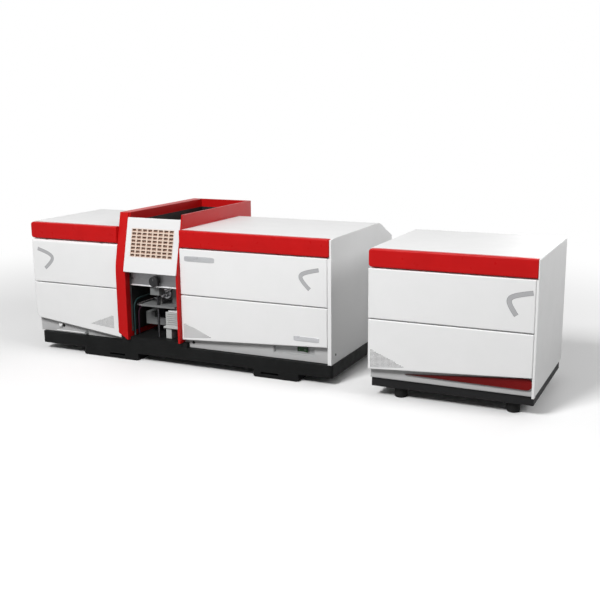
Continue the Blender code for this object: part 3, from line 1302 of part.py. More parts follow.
def socket(name, centre_x, centre_z, back):
    """An appliance inlet: a flange outside the rear wall and a body through it, with its hollow."""
    flange_over, flange_thick, body_depth = 0.006, 0.003, 0.022
    hollow = (0.0245, 0.0165, 0.016)
    half_w, half_h = INLET_WIDTH / 2, INLET_HEIGHT / 2
    mesh = bmesh.new()
    wide, tall = half_w + flange_over, half_h + flange_over / 2
    block(mesh, (centre_x - wide, back + CLEAR, centre_z - tall),
          (centre_x + wide, back + CLEAR + flange_thick, centre_z + tall))
    inlet = make(name, mesh, BLACK)
    body = bmesh.new()
    block(body, (centre_x - half_w + CLEAR, back - body_depth, centre_z - half_h + CLEAR),
          (centre_x + half_w - CLEAR, back + CLEAR + flange_thick / 2, centre_z + half_h - CLEAR))
    join(inlet, body)
    well = bmesh.new()
    face = back + CLEAR + flange_thick
    block(well, (centre_x - hollow[0] / 2, face - hollow[2], centre_z - hollow[1] / 2),
          (centre_x + hollow[0] / 2, face + CUT_OVERRUN, centre_z + hollow[1] / 2))
    cut(inlet, well)


def gas_manifold():
    plate, margin, barb_radius, barb_tip = 0.004, 0.014, 0.0055, 0.0040
    spigot = 0.012
    start, stop = BODY_BACK + CLEAR, BODY_BACK + CLEAR + plate
    mesh = bmesh.new()
    block(mesh, (GAS_X - margin, start, GAS_Z - margin),
          (GAS_X + (GAS_PORTS - 1) * GAS_PITCH + margin, stop, GAS_Z + margin))
    manifold = make("gas_manifold", mesh, BRASS)
    fittings = bmesh.new()
    end = BODY_BACK + REAR_REACH
    middle = (stop + end) / 2
    for port in range(GAS_PORTS):
        turned(fittings, [(start - spigot, 0), (start - spigot, GAS_HOLE - CLEAR),
                          (stop, GAS_HOLE - CLEAR), (stop, barb_radius), (middle, barb_radius),
                          (middle, barb_tip), (end, barb_tip), (end, 0)],
               "Y", (GAS_X + port * GAS_PITCH, GAS_Z), 16)
    join(manifold, fittings)


# The power cabinet: cover, base with four round feet, band, panels and the red accent in the recess
SUPPLY_BASE_INSET = 0.004
SUPPLY_BASE_BACK = 0.006
SUPPLY_CELLS = 3
SUPPLY_FOOT_RADIUS = 0.0175
SUPPLY_FOOT_SIDE = 0.0765
SUPPLY_FOOT_BACK = 0.0285
SUPPLY_LOWER_RISE = 0.0275
TERMINAL_RADIUS = 0.008
TERMINAL_PITCH = 0.060
TERMINAL_RISE = 0.090
TERMINAL_Z = SUPPLY_BASE_TOP + TERMINAL_RISE
SUPPLY_INLET_FROM_RIGHT = 0.092
SUPPLY_INLET_X = SUPPLY_RIGHT - SUPPLY_INLET_FROM_RIGHT
SUPPLY_RETURN = 0.014
ACCENT_TIP_INSET = 0.0995
ACCENT_TIP_RISE = 0.0205
ACCENT_END_INSET = 0.0065
ACCENT_END_RISE = 0.0324
ACCENT_RADIUS = 0.0148
ACCENT_THICK = 0.005


def supply_housing():
    mesh = bmesh.new()
    block(mesh, (SUPPLY_LEFT, SUPPLY_BODY_FRONT, SUPPLY_FLOOR), (SUPPLY_RIGHT, SUPPLY_BACK, SUPPLY_TOP))
    cover = make("supply_housing", mesh, WHITE)
    soften(cover, TOP_ROUND / 2)
    inner = bmesh.new()
    block(inner, (SUPPLY_LEFT + SHEET, SUPPLY_BODY_FRONT + FRONT_SHEET, SUPPLY_FLOOR + SHEET),
          (SUPPLY_RIGHT - SHEET, SUPPLY_BACK - SHEET, SUPPLY_TOP - SHEET))
    cut(cover, inner)
    below = bmesh.new()
    front = SUPPLY_BODY_FRONT + SUPPLY_RETURN
    block(below, (SUPPLY_LEFT + SUPPLY_RETURN, front, SUPPLY_FLOOR - CUT_OVERRUN),
          (SUPPLY_RIGHT - SUPPLY_RETURN, SUPPLY_BACK - SUPPLY_RETURN, SUPPLY_FLOOR + 2 * SHEET))
    cut(cover, below)
    side_flange(cover, SUPPLY_RIGHT, SUPPLY_PANEL_END, SUPPLY_FRONT, SUPPLY_FLOOR,
                SUPPLY_TOP - SUPPLY_BAND_HEIGHT - SHADOW_GAP)
    side_flange(cover, SUPPLY_RIGHT, BAND_END / 2, SUPPLY_FRONT,
                SUPPLY_TOP - SUPPLY_BAND_HEIGHT - SHADOW_GAP - SHEET, SUPPLY_TOP - SHEET)
    openings = bmesh.new()
    x, z = SUPPLY_INLET_X, TERMINAL_Z
    block(openings, (x - INLET_WIDTH / 2, SUPPLY_BACK - CUT_OVERRUN, z - INLET_HEIGHT / 2),
          (x + INLET_WIDTH / 2, SUPPLY_BACK + CUT_OVERRUN, z + INLET_HEIGHT / 2))
    for side in (0, 1):
        rod(openings, "Y", (SUPPLY_LEFT + TERMINAL_PITCH * (1 + side), z), TERMINAL_RADIUS,
            SUPPLY_BACK - CUT_OVERRUN, SUPPLY_BACK + CUT_OVERRUN, 16)
    cut(cover, openings)


def supply_base():
    low = (SUPPLY_LEFT + SUPPLY_BASE_INSET, SUPPLY_BODY_FRONT + SUPPLY_BASE_BACK)
    high = (SUPPLY_RIGHT - SUPPLY_BASE_INSET, SUPPLY_BACK - SUPPLY_BASE_BACK)
    mesh = bmesh.new()
    block(mesh, (*low, SUPPLY_FOOT_DROP), (*high, SUPPLY_BASE_TOP))
    base = make("supply_base", mesh, BLACK)
    cut(base, pan_cells(low, high, SUPPLY_BASE_TOP, BASE_PLATE, SUPPLY_CELLS))
    edge = SUPPLY_FOOT_RADIUS / 6
    y_front = low[1] + SUPPLY_FOOT_BACK
    y_rear = high[1] - SUPPLY_FOOT_BACK
    x_left = SUPPLY_LEFT + SUPPLY_FOOT_SIDE
    x_right = SUPPLY_RIGHT - SUPPLY_FOOT_SIDE + SUPPLY_FOOT_RADIUS
    top = SUPPLY_BASE_TOP - BASE_PLATE - CLEAR
    places = {"front_left": (x_left, y_front), "front_right": (x_right, y_front),
              "rear_left": (x_left, y_rear), "rear_right": (x_right, y_rear)}
    for where, place in places.items():
        mesh = bmesh.new()
        turned(mesh, [(0, 0), (0, SUPPLY_FOOT_RADIUS - edge), (edge, SUPPLY_FOOT_RADIUS),
                      (top, SUPPLY_FOOT_RADIUS), (top, 0)], "Z", place, 24)
        make("supply_foot_" + where, mesh, BLACK)


def supply_front():
    band_radii = [BAND_ROUND, BAND_END, BAND_END, BAND_ROUND]
    red_band("supply_red_band", SUPPLY_LEFT, SUPPLY_RIGHT - BAND_END / 2, SUPPLY_FRONT, 0, SUPPLY_TOP,
             SUPPLY_BAND_HEIGHT, band_radii)
    right_end = SUPPLY_RIGHT - SUPPLY_PANEL_END
    high = SUPPLY_TOP - SUPPLY_BAND_HEIGHT - SHADOW_GAP
    seam = high - SUPPLY_UPPER_PANEL_HEIGHT
    front_panel("supply_upper_panel", [(SUPPLY_LEFT, seam), (right_end, seam), (right_end, high),
                                       (SUPPLY_LEFT, high)], SUPPLY_FRONT)
    low = SUPPLY_BASE_TOP + SUPPLY_LOWER_RISE
    high = seam - SHADOW_GAP
    slant = LOWER_PANEL_SLANT
    front_panel("supply_lower_panel", [(SUPPLY_LEFT, low), (right_end, low + slant), (right_end, high),
                                       (SUPPLY_LEFT, high)], SUPPLY_FRONT)
    tip = (SUPPLY_LEFT + ACCENT_TIP_INSET, SUPPLY_BASE_TOP + ACCENT_TIP_RISE)
    centre = (SUPPLY_RIGHT - ACCENT_END_INSET - ACCENT_RADIUS, SUPPLY_BASE_TOP + ACCENT_END_RISE)
    outline = [tip, *arc(centre, ACCENT_RADIUS, -90, 95, 8)]
    mesh = bmesh.new()
    prism(mesh, outline, "XZ", SUPPLY_BODY_FRONT - CLEAR - ACCENT_THICK, SUPPLY_BODY_FRONT - CLEAR)
    make("supply_red_accent", mesh, RED)


def supply_parts():
    heavy = 1.7
    front = SUPPLY_BODY_FRONT + SUPPLY_DEPTH / 3
    transformer("supply_transformer", SUPPLY_LEFT + SUPPLY_WIDTH / 3, front, SUPPLY_FLOOR, heavy)
    socket("supply_inlet", SUPPLY_INLET_X, TERMINAL_Z, SUPPLY_BACK)
    bar, stud_end = 0.012, 0.022
    mesh = bmesh.new()
    x = SUPPLY_LEFT + TERMINAL_PITCH
    inside = SUPPLY_BACK - SHEET - CLEAR
    block(mesh, (x - bar, inside - bar, TERMINAL_Z - bar),
          (x + TERMINAL_PITCH + bar, inside, TERMINAL_Z + bar))
    terminals = make("supply_terminals", mesh, BRASS)
    studs = bmesh.new()
    for side in (0, 1):
        rod(studs, "Y", (x + side * TERMINAL_PITCH, TERMINAL_Z), TERMINAL_RADIUS - CLEAR,
            inside - bar / 2, SUPPLY_BACK + stud_end, 16)
    join(terminals, studs)


for item in list(bpy.data.objects):
    bpy.data.objects.remove(item, do_unlink=True)

WHITE = finish("white_enamel", (0.80, 0.80, 0.80), 0.45)
RED = finish("red_enamel", (0.58, 0.012, 0.018), 0.35)
BLACK = finish("black_moulding", (0.017, 0.018, 0.018), 0.55)
GREY = finish("grey_enamel", (0.42, 0.43, 0.43), 0.5)
GREEN = finish("green_rocker", (0.01, 0.16, 0.03), 0.3)
STEEL = finish("steel", (0.50, 0.50, 0.51), 0.32, 1.0)
DARK_STEEL = finish("dark_liner", (0.045, 0.048, 0.05), 0.5, 0.6)
CHROME = finish("chrome", (0.75, 0.76, 0.77), 0.12, 1.0)
TITANIUM = finish("titanium", (0.45, 0.43, 0.41), 0.4, 1.0)
ALUMINIUM = finish("aluminium", (0.62, 0.63, 0.64), 0.4, 1.0)
BRASS = finish("brass", (0.60, 0.42, 0.15), 0.3, 1.0)
GLASS = finish("glass", (0.80, 0.86, 0.88), 0.05)
MIRROR = finish("mirror", (0.80, 0.82, 0.88), 0.08, 1.0)
CORE = finish("iron_core", (0.20, 0.12, 0.07), 0.6, 0.3)

base_plinth()
feet()
left_housing()
right_housing()
bands_and_panels()
lamp_door()
control_tray()
tower_left_wall()
tower_right_wall()
tower_back_wall()
burner_bay_liner()
windows()
vent_door()
crossbar()
burner_height_knob()
lift_gearbox()
lift_screw()
burner_carriage()
carriage_rail()
spray_chamber()
nebulizer()
burner_head()
drain_trap()
gas_valve_block()
gas_valve_cap()
lamp_turret()
turret_bracket()
monochromator_case()
grating()
detector_housing()
transformer("mains_transformer", CASE_RIGHT - TRANSFORMER[0], CASE_FRONT + CASE_DEPTH / 2, FLOOR, 1)
fan_frame()
fan_rotor()
socket("mains_inlet", INLET_X, INLET_Z, BODY_BACK)
gas_manifold()
supply_housing()
supply_base()
supply_front()
supply_parts()
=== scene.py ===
import math

import bmesh
import bpy
import numpy as np
from mathutils import Matrix, Vector


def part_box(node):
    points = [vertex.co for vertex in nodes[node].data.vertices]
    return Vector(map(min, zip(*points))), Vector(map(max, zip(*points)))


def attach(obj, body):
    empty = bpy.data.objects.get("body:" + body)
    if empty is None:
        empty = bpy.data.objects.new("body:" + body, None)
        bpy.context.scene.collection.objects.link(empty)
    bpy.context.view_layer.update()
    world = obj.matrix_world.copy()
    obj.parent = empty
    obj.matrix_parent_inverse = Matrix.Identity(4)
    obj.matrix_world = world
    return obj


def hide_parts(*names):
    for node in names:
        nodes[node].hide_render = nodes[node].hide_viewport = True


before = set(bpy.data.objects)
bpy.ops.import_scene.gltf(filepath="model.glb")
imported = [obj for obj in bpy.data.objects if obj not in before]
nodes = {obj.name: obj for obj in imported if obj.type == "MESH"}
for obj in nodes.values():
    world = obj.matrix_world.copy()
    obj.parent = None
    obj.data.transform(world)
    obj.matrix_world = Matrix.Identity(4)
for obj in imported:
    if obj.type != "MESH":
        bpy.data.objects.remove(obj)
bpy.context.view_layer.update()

# The camera stands to the right of the set, a little above its top, and looks down across both
# cabinets. Its place, turn and focal length come from the straight edges of the photograph.
CAMERA_PLACE = (1.18515, -2.4366, 0.7729)
CAMERA_TURN, CAMERA_TIP, CAMERA_LEAN = (math.radians(angle) for angle in (25.3113, 12.3585, -0.5419))
FOCAL_PIXELS, PHOTO_PIXELS, SENSOR_MM, CAMERA_REACH = 909.221, 600, 36.0, 50


def placed(name, data):
    """A new object of the scene."""
    made = bpy.data.objects.new(name, data)
    bpy.context.scene.collection.objects.link(made)
    return made


ahead = Vector((-math.sin(CAMERA_TURN) * math.cos(CAMERA_TIP),
                math.cos(CAMERA_TURN) * math.cos(CAMERA_TIP), -math.sin(CAMERA_TIP)))
level = Vector((math.cos(CAMERA_TURN), math.sin(CAMERA_TURN), 0))
upright = level.cross(ahead)
across = level * math.cos(CAMERA_LEAN) + upright * math.sin(CAMERA_LEAN)
upward = upright * math.cos(CAMERA_LEAN) - level * math.sin(CAMERA_LEAN)
camera_data = bpy.data.cameras.new("photo_camera")
camera_data.sensor_width = SENSOR_MM
camera_data.lens = FOCAL_PIXELS / PHOTO_PIXELS * SENSOR_MM
camera_data.clip_end = CAMERA_REACH
camera = placed("photo_camera", camera_data)
camera.matrix_world = (Matrix.Translation(CAMERA_PLACE)
                       @ Matrix((across, upward, -ahead)).transposed().to_4x4())
bpy.context.scene.camera = camera
bpy.context.scene.view_settings.view_transform = "Standard"

# The bench is one pale matt sheet that fades to plain white away from the instrument and keeps the soft
# shadow under the feet. Three soft boxes stand in front, to the right and low behind: the tops are
# brightest, and the right-hand sides fall into even grey.
BENCH_REACH, FADE_START, FADE_END = 14.0, 0.7, 2.6
BENCH_PALE, BENCH_BOUNCE, BENCH_ROUGHNESS = (0.9,) * 3, (0.25,) * 3, 0.9
ROOM_GLOW, ROOM_WHITE = 0.16, 1.0
SOFT_BOXES = (
    ("key_soft_box", (-0.4, -2.8, 2.65), (0, 0, 0.2), 1.0, 130),
    ("side_soft_box", (3.2, -0.6, 2.3), (0.3, 0, 0.3), 1.4, 40),
    ("back_soft_box", (0.9, 3.4, 0.9), (0, 0, 0.25), 1.8, 44),
)


def fill(node, inputs):
    """Puts a number, a colour or another node's output into each of a shading node's inputs."""
    for key, value in inputs.items():
        socket = node.inputs[key]
        if isinstance(value, bpy.types.NodeSocket):
            node.id_data.links.new(value, socket)
        else:
            socket.default_value = (*value, 1) if socket.type == "RGBA" else value


def shade(tree, kind, inputs=None, output=0, **settings):
    """A new shading node with its settings and inputs, given back as one of its outputs."""
    node = tree.nodes.new("ShaderNode" + kind)
    for name, value in settings.items():
        setattr(node, name, value)
    fill(node, inputs or {})
    return node.outputs[output]


def tint(tree, share, first, second):
    """first * (1 - share) + second * share."""
    return shade(tree, "Mix", {0: share, 6: first, 7: second}, 2, data_type="RGBA")


def product(tree, first, second):
    """first * second."""
    return shade(tree, "Math", {0: first, 1: second}, operation="MULTIPLY")


def seen_directly(tree):
    """1 where the ray comes from the camera, off a gloss or through glass, 0 for the light itself."""
    path = shade(tree, "LightPath").node
    seen = path.outputs["Is Camera Ray"]
    for kind in ("Is Glossy Ray", "Is Transmission Ray"):
        seen = shade(tree, "Math", {0: seen, 1: path.outputs[kind]}, operation="MAXIMUM")
    return seen


bench_mesh = bpy.data.meshes.new("bench")
corner = np.array([(-1, -1, 0), (1, -1, 0), (1, 1, 0), (-1, 1, 0)]) * BENCH_REACH
bench_mesh.from_pydata(corner.tolist(), [], [(0, 1, 2, 3)])
bench = placed("bench", bench_mesh)
bench_look = bpy.data.materials.new("pale_bench")
bench_look.use_nodes = True
tree = bench_look.node_tree
matt = tree.nodes["Principled BSDF"]
bounce = tint(tree, seen_directly(tree), BENCH_BOUNCE, BENCH_PALE)
fill(matt, {"Base Color": bounce, "Roughness": BENCH_ROUGHNESS})
reach = shade(tree, "VectorMath", {0: shade(tree, "TexCoord", output="Object")}, "Value", operation="LENGTH")
fade = shade(tree, "MapRange", {"Value": reach, "From Min": FADE_START, "From Max": FADE_END},
             interpolation_type="SMOOTHSTEP")
blend = shade(tree, "MixShader", {0: product(tree, fade, seen_directly(tree)), 1: matt.outputs[0],
                                  2: shade(tree, "Emission")})
fill(tree.nodes["Material Output"], {"Surface": blend})
bench_mesh.materials.append(bench_look)

room = bpy.data.worlds.new("pale_room")
room.use_nodes = True
bpy.context.scene.world = room
tree = room.node_tree
glow = shade(tree, "MapRange", {"Value": seen_directly(tree), "To Min": ROOM_GLOW, "To Max": ROOM_WHITE})
fill(tree.nodes["Background"], {"Color": (1, 1, 1), "Strength": glow})
for name, place, target, size, power in SOFT_BOXES:
    lamp = bpy.data.lights.new(name, "AREA")
    lamp.shape, lamp.size, lamp.energy = "SQUARE", size, power
    box = placed(name, lamp)
    box.location = place
    box.rotation_euler = (Vector(target) - Vector(place)).to_track_quat("-Z", "Y").to_euler()

# The base is one deep black moulding, turned over like a tray, and stands on broad black feet that are
# screwed up into its cells. Base, feet, fan and sockets are glass-filled plastic with a fine grain.
BLACK, BLACK_CLOUD = (0.0085, 0.0088, 0.0088), (0.012, 0.0125, 0.0125)
BEVEL_SAMPLES = 8
CORNERS = ("front_left", "front_right", "rear_left", "rear_right")


def grain(tree, size, detail=3.0, stretch=(1, 1, 1)):
    """Noise on Object coordinates, with blotches of about that size in metres, drawn out by stretch."""
    place = shade(tree, "Mapping", {"Vector": shade(tree, "TexCoord", output="Object"), "Scale": stretch})
    return shade(tree, "TexNoise", {"Vector": place, "Scale": 1 / size, "Detail": detail}, "Fac")


def spread(tree, value, low, high, start=0.3, end=0.7):
    """low + (high - low) * (value - start) / (end - start), held between the two."""
    ends = {"From Min": start, "From Max": end, "To Min": low, "To Max": high}
    return shade(tree, "MapRange", {"Value": value, **ends})


def shader_of(look):
    """The shader that stands at the end of a finish."""
    return look.node_tree.nodes["Principled BSDF"]


def relief(shader, height, depth, edge):
    """Bumps of that depth in metres, over edges that look rounded to the radius edge."""
    normal = {}
    if edge:
        normal = {"Normal": shade(shader.id_data, "Bevel", {"Radius": edge}, samples=BEVEL_SAMPLES)}
    if depth:
        normal = {"Normal": shade(shader.id_data, "Bump", {"Distance": depth, "Height": height, **normal})}
    fill(shader, normal)


def finish(name, colour, other, roughness, cloud=None, vary=None, bumps=None, edge=0.0, gloss=0.3,
           metallic=0.0):
    """A finish that drifts from one colour to the other by the noise cloud, and in roughness by vary: how
    far below, how far above and by which noise. Bumps are a depth and a noise."""
    look = bpy.data.materials.new(name)
    look.use_nodes = True
    look.diffuse_color = (*colour, 1)
    tree, shader = look.node_tree, shader_of(look)
    fill(shader, {"Base Color": colour, "Roughness": roughness})
    fill(shader, {"Metallic": metallic, "Specular IOR Level": gloss})
    if cloud:
        fill(shader, {"Base Color": tint(tree, spread(tree, grain(tree, *cloud), 0, 1), colour, other)})
    if vary:
        below, above, noise = vary
        fill(shader, {"Roughness": spread(tree, grain(tree, *noise), roughness - below, roughness + above)})
    if bumps:
        depth, noise = bumps
        relief(shader, grain(tree, *noise) if depth else None, depth, edge)
    return look


def moulding(name, colour, other, roughness, depth=0.00002, edge=0.0, gloss=0.3):
    """Textured plastic: cloudy in colour, with a fine grain and a gloss that varies a little."""
    return finish(name, colour, other, roughness, (0.05,), (0.06, 0.08, (0.02,)), (depth, (0.0009, 2)),
                  edge, gloss)


def paint(look, *names):
    """Puts a material on CAD nodes, in place of their plain one."""
    for name in names:
        nodes[name].data.materials.clear()
        nodes[name].data.materials.append(look)


black_moulding = moulding("black_moulding", BLACK, BLACK_CLOUD, 0.55, edge=0.0012, gloss=0.07)
paint(black_moulding, "base_plinth", "fan_frame", "fan_rotor", "mains_inlet", "supply_inlet",
      *("foot_" + corner for corner in CORNERS))

# The covers of the cabinets are folded from 2 mm steel sheet and powder-coated white: satin, with a slight
# orange peel and small radii at the folds. The recessed strip low on each front is painted mid-grey: painted
# shade, the shadow that the panel above casts into the recess.
WHITE, WHITE_CLOUD = (0.8,) * 3, (0.775, 0.777, 0.775)
STRIP_SHADE_GREY, STRIP_SHADE_TOP, STRIP_SHADE_BELOW = (0.46,) * 3, 0.11, 0.01
STRIP_SHADE_NEAR, STRIP_SHADE_SIDE, STRIP_SHADE_FADE = 0.002, 0.003, 0.0004
COVERS = {name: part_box(name + "_housing") for name in ("left", "right", "supply")}
left_back, right_back, supply_back = (high.y for low, high in COVERS.values())
strip_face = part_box("control_tray")[0].y


def enamel(name, colour, other, roughness, peel=0.00002, edge=0.0015, gloss=0.3):
    """Powder coat: a faint cloudiness, and an orange peel of about 1.5 mm."""
    return finish(name, colour, other, roughness, (0.12,), (0.04, 0.05, (0.03,)), (peel, (0.0015, 2)),
                  edge, gloss)


def where(tree, axis):
    """How far along X, Y or Z a point of the piece lies."""
    return shade(tree, "SeparateXYZ", {0: shade(tree, "TexCoord", output="Object")}, axis)


def recoloured(look, colour, low, high, soft):
    """Gives a material another colour inside the box from low to high. The share is a product of steps,
    one for each side, that rise from 0 to 1 over the width soft."""
    tree, shader = look.node_tree, shader_of(look)
    inside = None
    for axis, first, last in zip("XYZ", low, high):
        for edge, before, after in ((first, 0, 1), (last, 1, 0)):
            step = spread(tree, where(tree, axis), before, after, edge - soft / 2, edge + soft / 2)
            inside = step if inside is None else product(tree, inside, step)
    fill(shader, {"Base Color": tint(tree, inside, shader.inputs["Base Color"].links[0].from_socket, colour)})
    return look


white_enamel = enamel("white_enamel", WHITE, WHITE_CLOUD, 0.42)
# Painted shade: each cover's material turns mid-grey over its recessed strip, under the panels.
for name, (low, high) in COVERS.items():
    strip_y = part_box("supply_lower_panel")[1].y if name == "supply" else strip_face
    cover = enamel(name + "_cover_enamel_and_strip_shade", WHITE, WHITE_CLOUD, 0.42)
    recoloured(cover, STRIP_SHADE_GREY, (low.x + STRIP_SHADE_SIDE, strip_y - STRIP_SHADE_NEAR, low.z - STRIP_SHADE_BELOW),
               (high.x - STRIP_SHADE_SIDE, strip_y + STRIP_SHADE_NEAR, STRIP_SHADE_TOP), STRIP_SHADE_FADE)
    paint(cover, name + "_housing")

# Small pan-head steel screws in black oxide, with a cross recess, hold the covers to the frames inside:
# six on each back, and two low on each side that faces the gap between the cabinets.
SCREW_RADIUS, SCREW_HEIGHT = 0.0036, 0.0016
SCREW_RECESS, SCREW_ARM, SCREW_REACH = 0.0011, 0.0006, 0.62
SCREW_LINE_FRONT, SCREW_LINE_BACK, SCREW_RISE = 0.0305, 0.04, 0.024
BACK_INSET, BACK_LOW, BACK_HIGH = 0.012, 0.07, 0.33


def around(sides):
    """Angles in even steps, one for each side of a round section."""
    return np.arange(sides) * math.tau / sides


def points(x, y, z):
    """One grid of points from those of their x, y and z, each spread to the same rows and columns."""
    return np.stack(np.broadcast_arrays(x, y, z), -1)


def lathe(profile, sides):
    """Points (height, radius) turned round the Z axis: (r cos a, r sin a, h), with a in even steps."""
    height, radius = np.array(profile, float).T[..., None]
    return points(radius * np.cos(around(sides)), radius * np.sin(around(sides)), height)


FRONT, BACK, RIGHT, UP = (0, -1, 0), (0, 1, 0), (1, 0, 0), (0, 0, 1)


def aimed(grid, centre, direction):
    """The grid turned so that its Z axis lies along direction, and moved to centre."""
    turn = np.array(Vector(UP).rotation_difference(Vector(direction)).to_matrix())
    return grid @ turn.T + np.array(centre)


def skin(name, grids, look, body="chassis", smooth=30, loop=False):
    """One object from closed point grids of copies x rows x columns x 3. Columns run round a section and
    rows along it; a flat face closes each end, or the last row joins the first where it is a loop."""
    corners, faces, start = [], [], 0
    for grid in grids if isinstance(grids, list) else [grids]:
        grid = grid.reshape(-1, *grid.shape[-3:])
        index = start + np.arange(grid.size // 3).reshape(grid.shape[:3])
        start += grid.size // 3
        corners.append(grid.reshape(-1, 3))
        if loop:
            index = np.concatenate([index, index[:, :1]], 1)
        beside = np.roll(index, -1, axis=2)
        sides = index[:, :-1], beside[:, :-1], beside[:, 1:], index[:, 1:]
        faces += np.stack(sides, -1).reshape(-1, 4).tolist()
        if not loop:
            faces += index[:, 0, ::-1].tolist() + index[:, -1].tolist()
    data = bpy.data.meshes.new(name)
    data.from_pydata(np.concatenate(corners).tolist(), [], faces)
    shape = bmesh.new()
    shape.from_mesh(data)
    bmesh.ops.remove_doubles(shape, verts=shape.verts, dist=1e-7)
    bmesh.ops.recalc_face_normals(shape, faces=shape.faces)
    shape.to_mesh(data)
    shape.free()
    data.shade_smooth()
    data.set_sharp_from_angle(angle=math.radians(smooth))
    data.materials.append(look)
    made = placed(name, data)
    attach(made, body)
    return made


def pan_head(rows=9, sides=32):
    """Height h = H (1 - (r/R)^4) less a cross of depth D: D exp(-(min(|x|,|y|)/w)^4) exp(-(r/(0.62 R))^8)."""
    radius = np.linspace(1, 0.02, rows) * SCREW_RADIUS
    grid = lathe([(0, r) for r in radius], sides)
    near = abs(grid[..., :2]).min(-1) / SCREW_ARM
    arms = np.exp(-near ** 4 - (radius[:, None] / (SCREW_REACH * SCREW_RADIUS)) ** 8)
    grid[..., 2] = SCREW_HEIGHT * (1 - (radius[:, None] / SCREW_RADIUS) ** 4) - SCREW_RECESS * arms
    return grid


def metal(name, colour, other, roughness, stretch=(1, 1, 1), streak=0.0004, depth=0.000008, edge=0.0006):
    """Bare metal: tool marks drawn out by stretch, in the colour, the gloss and a faint relief."""
    marks = (streak, 4, stretch)
    return finish(name, colour, other, roughness, marks, (0.07, 0.09, (0.01, 3)), (depth, marks), edge,
                  metallic=1.0)


black_oxide = metal("black_oxide", (0.085, 0.085, 0.09), (0.05, 0.05, 0.055), 0.35)
heads = []
for name, side in (("right", 1), ("left", 0), ("supply", -1)):
    low, high = COVERS[name]
    if side:
        for y in (low.y + SCREW_LINE_FRONT, high.y - SCREW_LINE_BACK):
            place = (high.x if side > 0 else low.x, y, low.z + SCREW_RISE)
            heads.append(aimed(pan_head(), place, (side, 0, 0)))
    for x in (low.x + BACK_INSET, (low.x + high.x) / 2, high.x - BACK_INSET):
        for z in (BACK_LOW, BACK_HIGH):
            heads.append(aimed(pan_head(), (x, high.y, z), BACK))
skin("cover_screws", heads, black_oxide)

# The front panels of the cabinets are smooth white injection mouldings with soft edges, clipped on in
# front of the covers. The lamp door is one of them, on hinges. The cap of the gas valve matches them.
white_moulding = moulding("white_moulding", WHITE, (0.785, 0.787, 0.785), 0.36, 0.000012, 0.0035)
paint(white_moulding, "lamp_door", "left_lower_panel", "right_upper_panel", "right_lower_panel",
      "supply_upper_panel", "supply_lower_panel", "gas_valve_cap")

# A hooked grey stroke is screen-printed high on each upper panel, as a plain ornament: a soft grey band
# about 10 mm wide, with a slightly darker rim printed over each of its edges.
PRINT_THICK, STROKE_LEAN, RIM_WIDTH = 0.00012, 2.2, 0.0014
right_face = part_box("right_upper_panel")[0].y
supply_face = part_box("supply_upper_panel")[0].y
STROKES = {
    "right_stroke": ((0.1967, 0.3243), (0.1246, 0.3096), (0.1689, 0.2682), (0.0098, 0.0105, 0.0092),
                     right_face, "chassis"),
    "left_stroke": ((-0.7726, 0.3265), (-0.6977, 0.3054), (-0.7472, 0.2652), (0.0092, 0.01, 0.009),
                    right_face, "lamp_door"),
    "supply_stroke": ((0.7818, 0.3186), (0.7095, 0.3057), (0.743, 0.2595), (0.0105, 0.0115, 0.011),
                      supply_face, "chassis"),
}


def hook(first, bend, last, weight, steps=48):
    """The conic through first and last that leans on bend:
    P(t) = ((1-t)^2 A + 2 w t (1-t) C + t^2 B) / ((1-t)^2 + 2 w t (1-t) + t^2)."""
    t = np.linspace(0, 1, steps)[:, None]
    parts = (1 - t) ** 2, 2 * weight * t * (1 - t), t ** 2
    return (parts[0] * np.array(first) + parts[1] * np.array(bend) + parts[2] * np.array(last)) / sum(parts)


def square_by(line, widths):
    """The vectors n w: n has length 1 and is square to a line (x, z), and w runs evenly through widths."""
    along = np.gradient(line, axis=0)
    along /= np.linalg.norm(along, axis=1, keepdims=True)
    width = np.interp(np.linspace(0, 1, len(line)), np.linspace(0, 1, len(widths)), widths)
    return np.stack([-along[:, 1], along[:, 0]], -1) * width[:, None]


def band(line, widths, face, thick=PRINT_THICK, columns=9):
    """A strip along a line (x, z): P + n w s, with s from -1/2 to 1/2 and n square to the line, and a
    front that stands thick before the face."""
    flat = line[:, None] + square_by(line, widths)[:, None] * np.linspace(-0.5, 0.5, columns)[:, None]
    both = np.concatenate([flat, flat[:, ::-1]], 1)
    return points(both[..., 0], np.repeat((face - thick, face + thick), columns), both[..., 1])


def printed(name, colour, other):
    """Screen ink: even, a little matt, with a slightly uneven edge to its colour."""
    return finish(name, colour, other, 0.5, (0.004,), None, (0.00001, (0.0005, 2)))


stroke_ink = printed("stroke_ink", (0.4, 0.4, 0.41), (0.43, 0.43, 0.44))
rim_ink = printed("rim_ink", (0.3, 0.3, 0.31), (0.34, 0.34, 0.35))
for name, (first, bend, last, widths, face, body) in STROKES.items():
    line = hook(first, bend, last, STROKE_LEAN)
    skin(name, band(line, widths, face), stroke_ink, body)
    rims = [band(line + square_by(line, widths) * side, (RIM_WIDTH,), face, 2 * PRINT_THICK, 3)
            for side in (-0.5, 0.5)]
    skin(name + "_rim", rims, rim_ink, body)

# Low on the inner side of each cabinet's front a triangle of small dots is screen-printed in dark ink.
# Its rows follow the slanting lower edge of the panel, and its far side fades out along that edge.
DOT_RADIUS, DOT_PITCH, DOT_SIDES = 0.00115, 0.0033, 8
DOT_FIELDS = {
    "right_dots": ((-0.2425, 0.1377), (-0.2425, 0.089), (-0.1401, 0.0975), right_face),
    "left_dots": ((-0.4915, 0.1363), (-0.4915, 0.0918), (-0.587, 0.1), right_face),
    "supply_dots": ((0.3645, 0.1365), (0.3645, 0.0835), (0.4653, 0.0937), supply_face),
}


